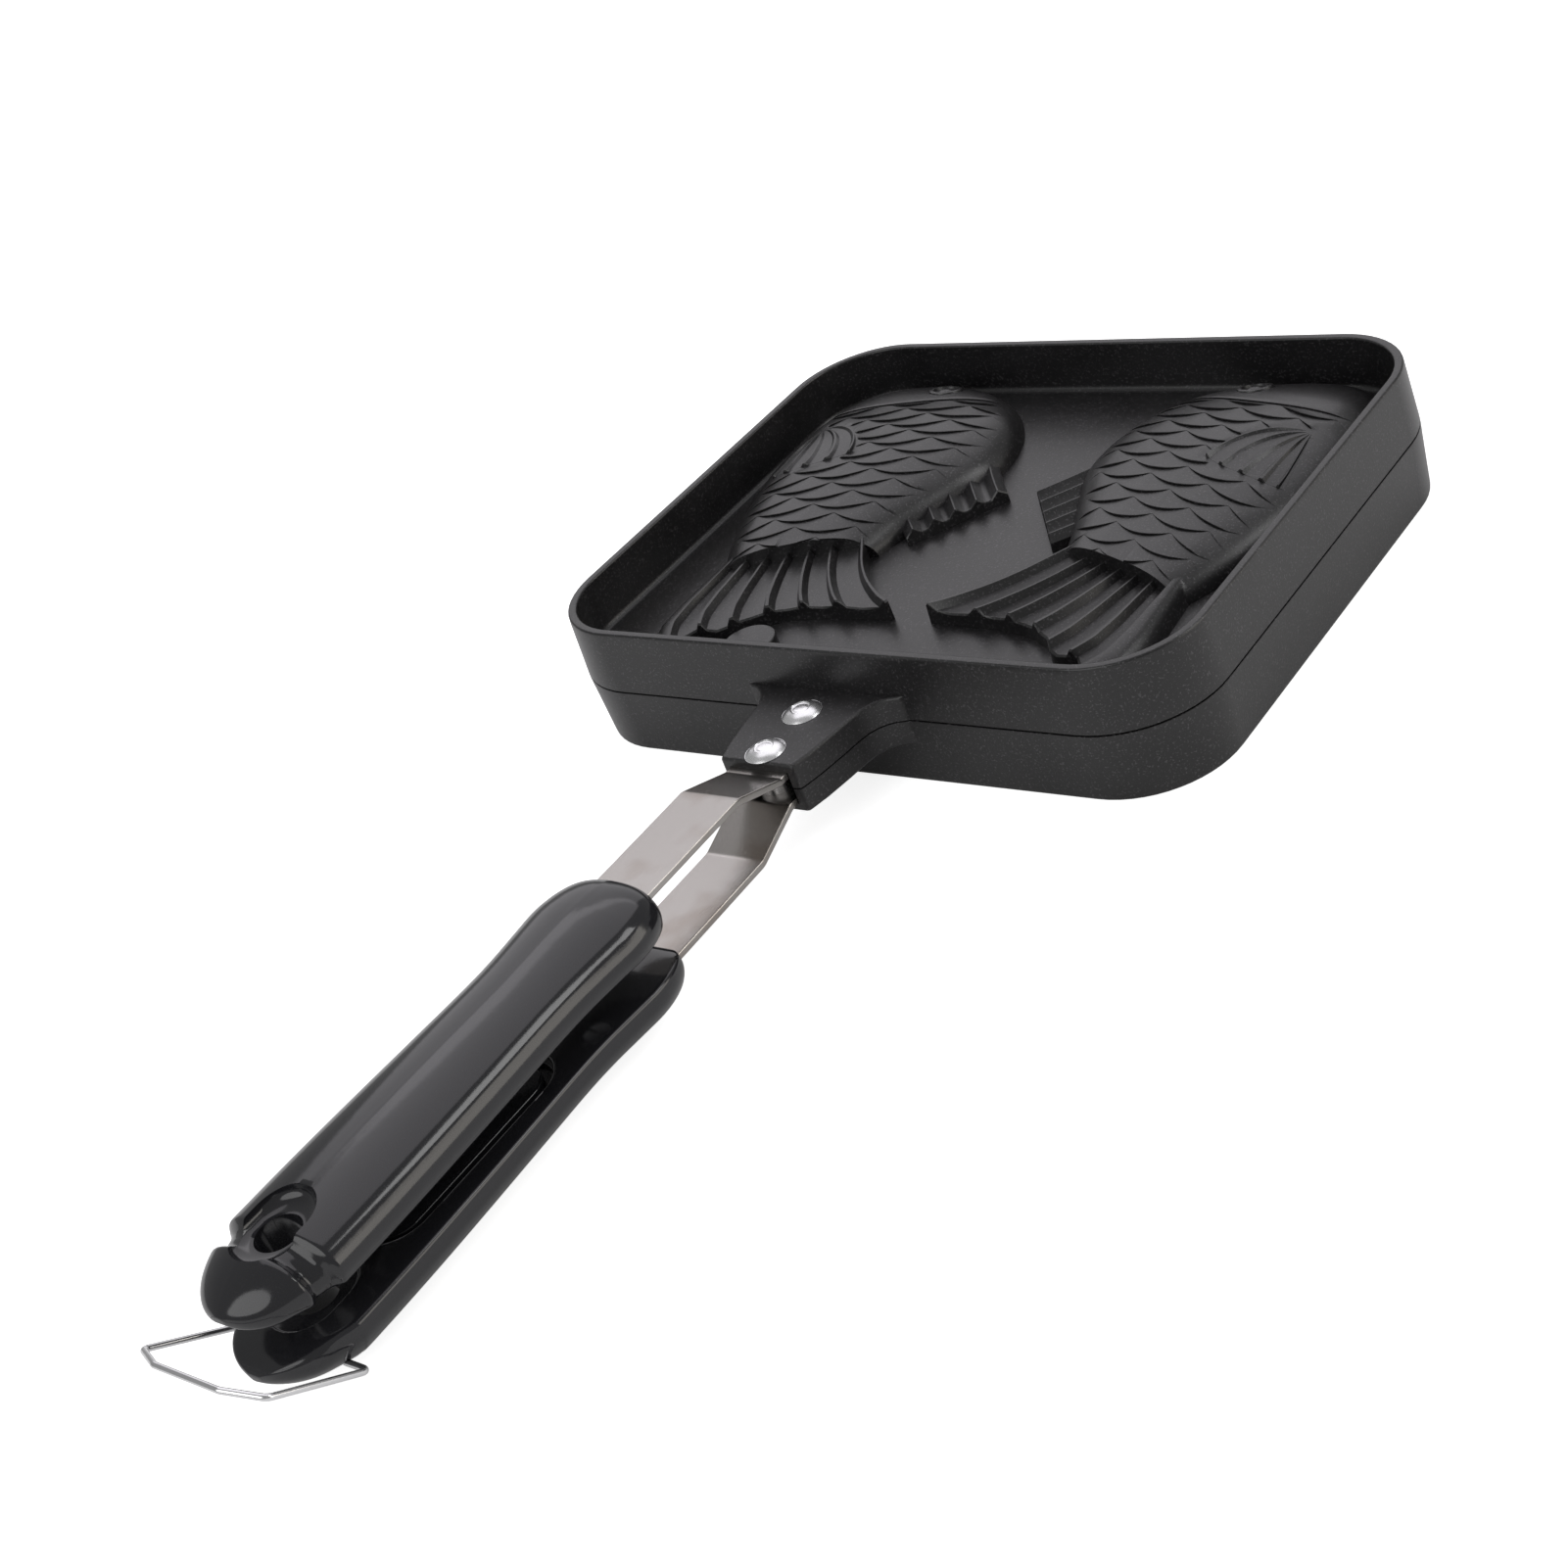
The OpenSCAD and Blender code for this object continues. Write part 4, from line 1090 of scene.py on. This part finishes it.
class PAN_OT_screws(bpy.types.Operator):
    """Builds the slotted screws that hold the straps in the handles"""
    bl_idname = "pan.screws"
    bl_label = "Handle screws"

    def execute(self, context):
        plate, size, _, finish = wanted(context, "plated")
        y = -plate["depth"] / 2 - size["start"] - size["screw"]
        low = size["inner"] + 0.3
        profile = [(0, low), (1.9, low), (2.5, low + 0.15), (2.8, low + 0.5), (2.8, low + 1.6), (1.5, low + 1.6)]
        for k in range(8):
            z = low + 1.9 + k * 0.55
            profile += [(1.49, z), (1.36, z + 0.27)]
        profile += [(1.3, 9.9), (0, 10.0)]
        for half, body, side in HALVES:
            piece = solid(f"{half}_grip_screw", *on_half(lathe(profile, 36, (0, y, 0)), side))
            slot = rounded_prism(block_outline(4, y - 0.4, y + 0.4), low - 1, low + 0.8, 0.1)
            carve(piece, (), [solid("slot", *on_half(slot, side))])
            finish_piece(piece, finish, body, "plated_steel", f"{half}_handle_screw")
        return {"FINISHED"}


# ---------------------------------------------------------------- hinge and latch

class PAN_OT_hinges(bpy.types.Operator):
    """Sets a headed pin and its retainer ring in each hinge"""
    bl_idname = "pan.hinges"
    bl_label = "Hinge pins"

    def execute(self, context):
        finish = wanted(context, "plated")[-1]
        leaf = LEAF_HALF + LEAF_GAP + OUTER_LEAF
        pin = [(0, -leaf - 1.8), (1.2, -leaf - 1.8), (1.5, -leaf - 1.5), (1.5, leaf + 0.1), (2.3, leaf + 0.1),
               (2.7, leaf + 0.35), (2.7, leaf + 0.95), (2.4, leaf + 1.3), (0, leaf + 1.4)]
        ring = [(1.5, -leaf - 0.9), (2.8, -leaf - 0.9), (3.0, -leaf - 0.75), (3.0, -leaf - 0.25), (2.8, -leaf - 0.1),
                (1.5, -leaf - 0.1)]
        shapes = (("pin", "hinge_pin", lathe(pin, way="x")),
                  ("retainer", "pin_retainer", lathe(ring + ring[:1], way="x", ends=False)))
        for label, node, (points, faces) in shapes:
            for side, word in ((-1, "left"), (1, "right")):
                at = (points + (HINGE_X, HINGE_Y, 0)) * (side, 1, 1)
                piece = solid(f"{word}_steel_{label}", at, faces)
                finish_piece(piece, finish, "lower_half", "plated_steel", f"{word}_{node}")
        return {"FINISHED"}


def wire_tree():
    """Sweeps a round wire along the line it is given, with its corners rounded."""
    t = Grower("swept_wire", {"Thickness": "Float", "Bend radius": "Float", "Sides": "Int", "Material": "Material"})
    curve = t.node("GeometryNodeMeshToCurve", {}, {0: t.given["Geometry"]})
    line = t.node("GeometryNodeFilletCurve", {"mode": "POLY"}, {
        "Curve": curve, "Radius": t.given["Bend radius"], "Count": 8, "Limit Radius": True})
    ring = t.node("GeometryNodeCurvePrimitiveCircle", {}, {
        "Radius": t.given["Thickness"] * 0.5, "Resolution": t.given["Sides"]})
    return t.end(t.node("GeometryNodeCurveToMesh", {}, {"Curve": line, "Profile Curve": ring, "Fill Caps": True}))


class PAN_OT_latch(bpy.types.Operator):
    """Bends the latch wire and hangs it in its stored place"""
    bl_idname = "pan.latch"
    bl_label = "Wire latch"

    def execute(self, context):
        plate, grip, wire, finish = wanted(context, "wire")
        pivot_y = -plate["depth"] / 2 - grip["start"] - grip["length"] + PIVOT_IN
        rise = wire["bar_height"] + wire["pivot_depth"]
        shoulder = rise - wire["shoulder"]
        leg = wire["leg"]
        half = [(leg - WIRE_FOOT, 0, 0), (leg, 0, 0), (leg, wire["lean"] * shoulder / rise, shoulder),
                (wire["bar_half"], wire["lean"], rise)]
        line = half + [(-x, y, z) for x, y, z in reversed(half)]
        swing = Matrix.Rotation(wire["open_angle"], 3, "X")
        at = [swing @ Vector(p) + Vector((0, pivot_y, -wire["pivot_depth"])) for p in line]
        mesh = bpy.data.meshes.new("latch_line")
        mesh.from_pydata(drop_in([tuple(p) for p in at]).tolist(), [(k, k + 1) for k in range(len(at) - 1)], [])
        piece = put_in_scene("latch_wire", mesh)
        wire_tree().grow(piece, {"Thickness": wire["thickness"] * MM, "Bend radius": WIRE_BEND * MM, "Sides": 20,
                                 "Material": finish})
        finish_piece(piece, finish, "latch", "spring_wire", "wire_latch", angle=60, weighted=False)
        return {"FINISHED"}


# ---------------------------------------------------------------- stage

COOL, PLAIN, WARM = (0.98, 0.95, 1.0), (1.0, 1.0, 1.0), (1.0, 0.95, 0.88)
# Name, azimuth, elevation, distance, width, height, power, tint and shape of each lamp
LAMPS = (
    ("back_lamp", 217, 27, 1.6, 1.7, 0.95, 3.8, COOL, "RECTANGLE"),
    ("ceiling_lamp", 208, 62, 1.4, 1.5, 1.2, 5.6, COOL, "RECTANGLE"),
    ("side_lamp", 126, 41, 1.2, 0.4, 0.42, 2.3, PLAIN, "RECTANGLE"),
    ("low_lamp", 116, 11, 1.5, 1.1, 0.55, 4.7, WARM, "RECTANGLE"),
    ("front_lamp", -4, 37, 1.2, 1.2, 0.9, 5.4, PLAIN, "ELLIPSE"))
# The camera's azimuth, elevation and roll, the point it looks at, its distance from there in
# metres, and its focal length and picture width in pixels
CAMERA_TURN, CAMERA_AIM, CAMERA_AWAY = (46.95, 30.66, -21.72), (4.10, -85.65), 0.46802
FOCAL, PICTURE, SENSOR = 2513.9, 1601, 36
# Glow of the floor as the camera sees it, the share of it in reflections, and the strength of
# the world as a lamp and as the camera sees it
GLOW, GLOW_MIRRORED, SKY, SKY_SEEN = 0.82, 0.12, 0.34, 1.0


def towards(azimuth, elevation):
    """Direction from the pan to a place round it."""
    return Vector((sin(azimuth) * cos(elevation), -cos(azimuth) * cos(elevation), sin(elevation)))


class PAN_OT_stage(bpy.types.Operator):
    """Sets the floor, the lamps and the camera"""
    bl_idname = "pan.stage"
    bl_label = "Stage"

    def execute(self, context):
        scene = context.scene
        white, reach = (1, 1, 1, 1), 4.0
        mesh = bpy.data.meshes.new("floor_sheet")
        mesh.from_pydata([(x, y, 0) for x, y in block_outline(reach, -reach, reach)], [], [(0, 1, 2, 3)])
        floor = put_in_scene("floor_sheet", mesh)
        f = Finish("floor_paper")
        path = f.tree.nodes.new("ShaderNodeLightPath")
        seen = Value(f, path.outputs["Is Camera Ray"]) + Value(f, path.outputs["Is Glossy Ray"]) * GLOW_MIRRORED
        paper = f.node("ShaderNodeBsdfDiffuse", {}, {"Color": (*scene.pan_finishes.floor, 1)})
        glow = f.node("ShaderNodeEmission", {}, {"Color": white, "Strength": seen * GLOW})
        mesh.materials.append(f.end(f.node("ShaderNodeAddShader", {}, {0: paper, 1: glow})))

        f = Finish(bpy.data.worlds.new("studio"))
        seen = f.node("ShaderNodeLightPath", out="Is Camera Ray")
        level = f.node("ShaderNodeMapRange", {}, {"Value": seen, "To Min": SKY, "To Max": SKY_SEEN})
        sky = f.node("ShaderNodeBackground", {}, {"Color": white, "Strength": level})
        scene.world = f.end(sky, "ShaderNodeOutputWorld")

        aim = Vector((0, 0, 0.015))
        for name, azimuth, elevation, distance, wide, tall, power, tint, shape in LAMPS:
            data = bpy.data.lights.new(name, "AREA")
            data.color, data.shape, data.size, data.size_y, data.energy = tint, shape, wide, tall, power
            way = towards(radians(azimuth), radians(elevation))
            put_in_scene(name, data).matrix_world = (
                Matrix.Translation(aim + way * distance) @ way.to_track_quat("Z", "Y").to_matrix().to_4x4())

        azimuth, elevation, roll = (radians(angle) for angle in CAMERA_TURN)
        back = towards(azimuth, elevation)
        right = Vector((0, 0, 1)).cross(back).normalized()
        up = back.cross(right)
        axes = (right * cos(roll) + up * sin(roll), up * cos(roll) - right * sin(roll), back)
        target = Vector((CAMERA_AIM[0], CAMERA_AIM[1] + SHIFT, DROP)) * MM
        data = bpy.data.cameras.new("camera")
        data.sensor_width, data.sensor_fit, data.lens = SENSOR, "HORIZONTAL", SENSOR * FOCAL / PICTURE
        data.clip_start, data.clip_end = 0.01, 20
        camera = scene.camera = put_in_scene("camera", data)
        camera.matrix_world = Matrix.Translation(target + back * CAMERA_AWAY) @ Matrix(axes).transposed().to_4x4()
        scene.view_settings.view_transform = "Standard"
        return {"FINISHED"}


# ---------------------------------------------------------------- panel and start

OPERATORS = (PAN_OT_castings, PAN_OT_straps, PAN_OT_rivets, PAN_OT_handles, PAN_OT_screws,
             PAN_OT_hinges, PAN_OT_latch, PAN_OT_stage)


class PAN_PT_builder(bpy.types.Panel):
    """Sizes, colours and building steps of the pan"""
    bl_idname = "PAN_PT_builder"
    bl_label = "Fish cake pan"
    bl_space_type = "VIEW_3D"
    bl_region_type = "UI"
    bl_category = "Pan"

    def draw(self, context):
        for name, _ in GROUPS:
            group = getattr(context.scene, name)
            box = self.layout.box()
            box.label(text=name.removeprefix("pan_").capitalize())
            for key in keys_of(group):
                box.prop(group, key)
        for operator in OPERATORS:
            self.layout.operator(operator.bl_idname)


GROUPS = (("pan_casting", PanCastingSizes), ("pan_scales", PanScaleSizes), ("pan_handle", PanHandleSizes),
          ("pan_wire", PanWireSizes), ("pan_finishes", PanFinishes))


def register():
    for name, group in GROUPS:
        bpy.utils.register_class(group)
        setattr(bpy.types.Scene, name, PointerProperty(type=group))
    for kind in OPERATORS + (PAN_PT_builder,):
        bpy.utils.register_class(kind)


def unregister():
    for kind in (PAN_PT_builder,) + OPERATORS[::-1]:
        bpy.utils.unregister_class(kind)
    for name, group in reversed(GROUPS):
        delattr(bpy.types.Scene, name)
        bpy.utils.unregister_class(group)


def main():
    register()
    bpy.ops.pan.castings()
    bpy.ops.pan.straps()
    bpy.ops.pan.rivets()
    bpy.ops.pan.handles()
    bpy.ops.pan.screws()
    bpy.ops.pan.hinges()
    bpy.ops.pan.latch()
    bpy.ops.pan.stage()
    bpy.context.view_layer.update()


if __name__ == "__main__":
    main()
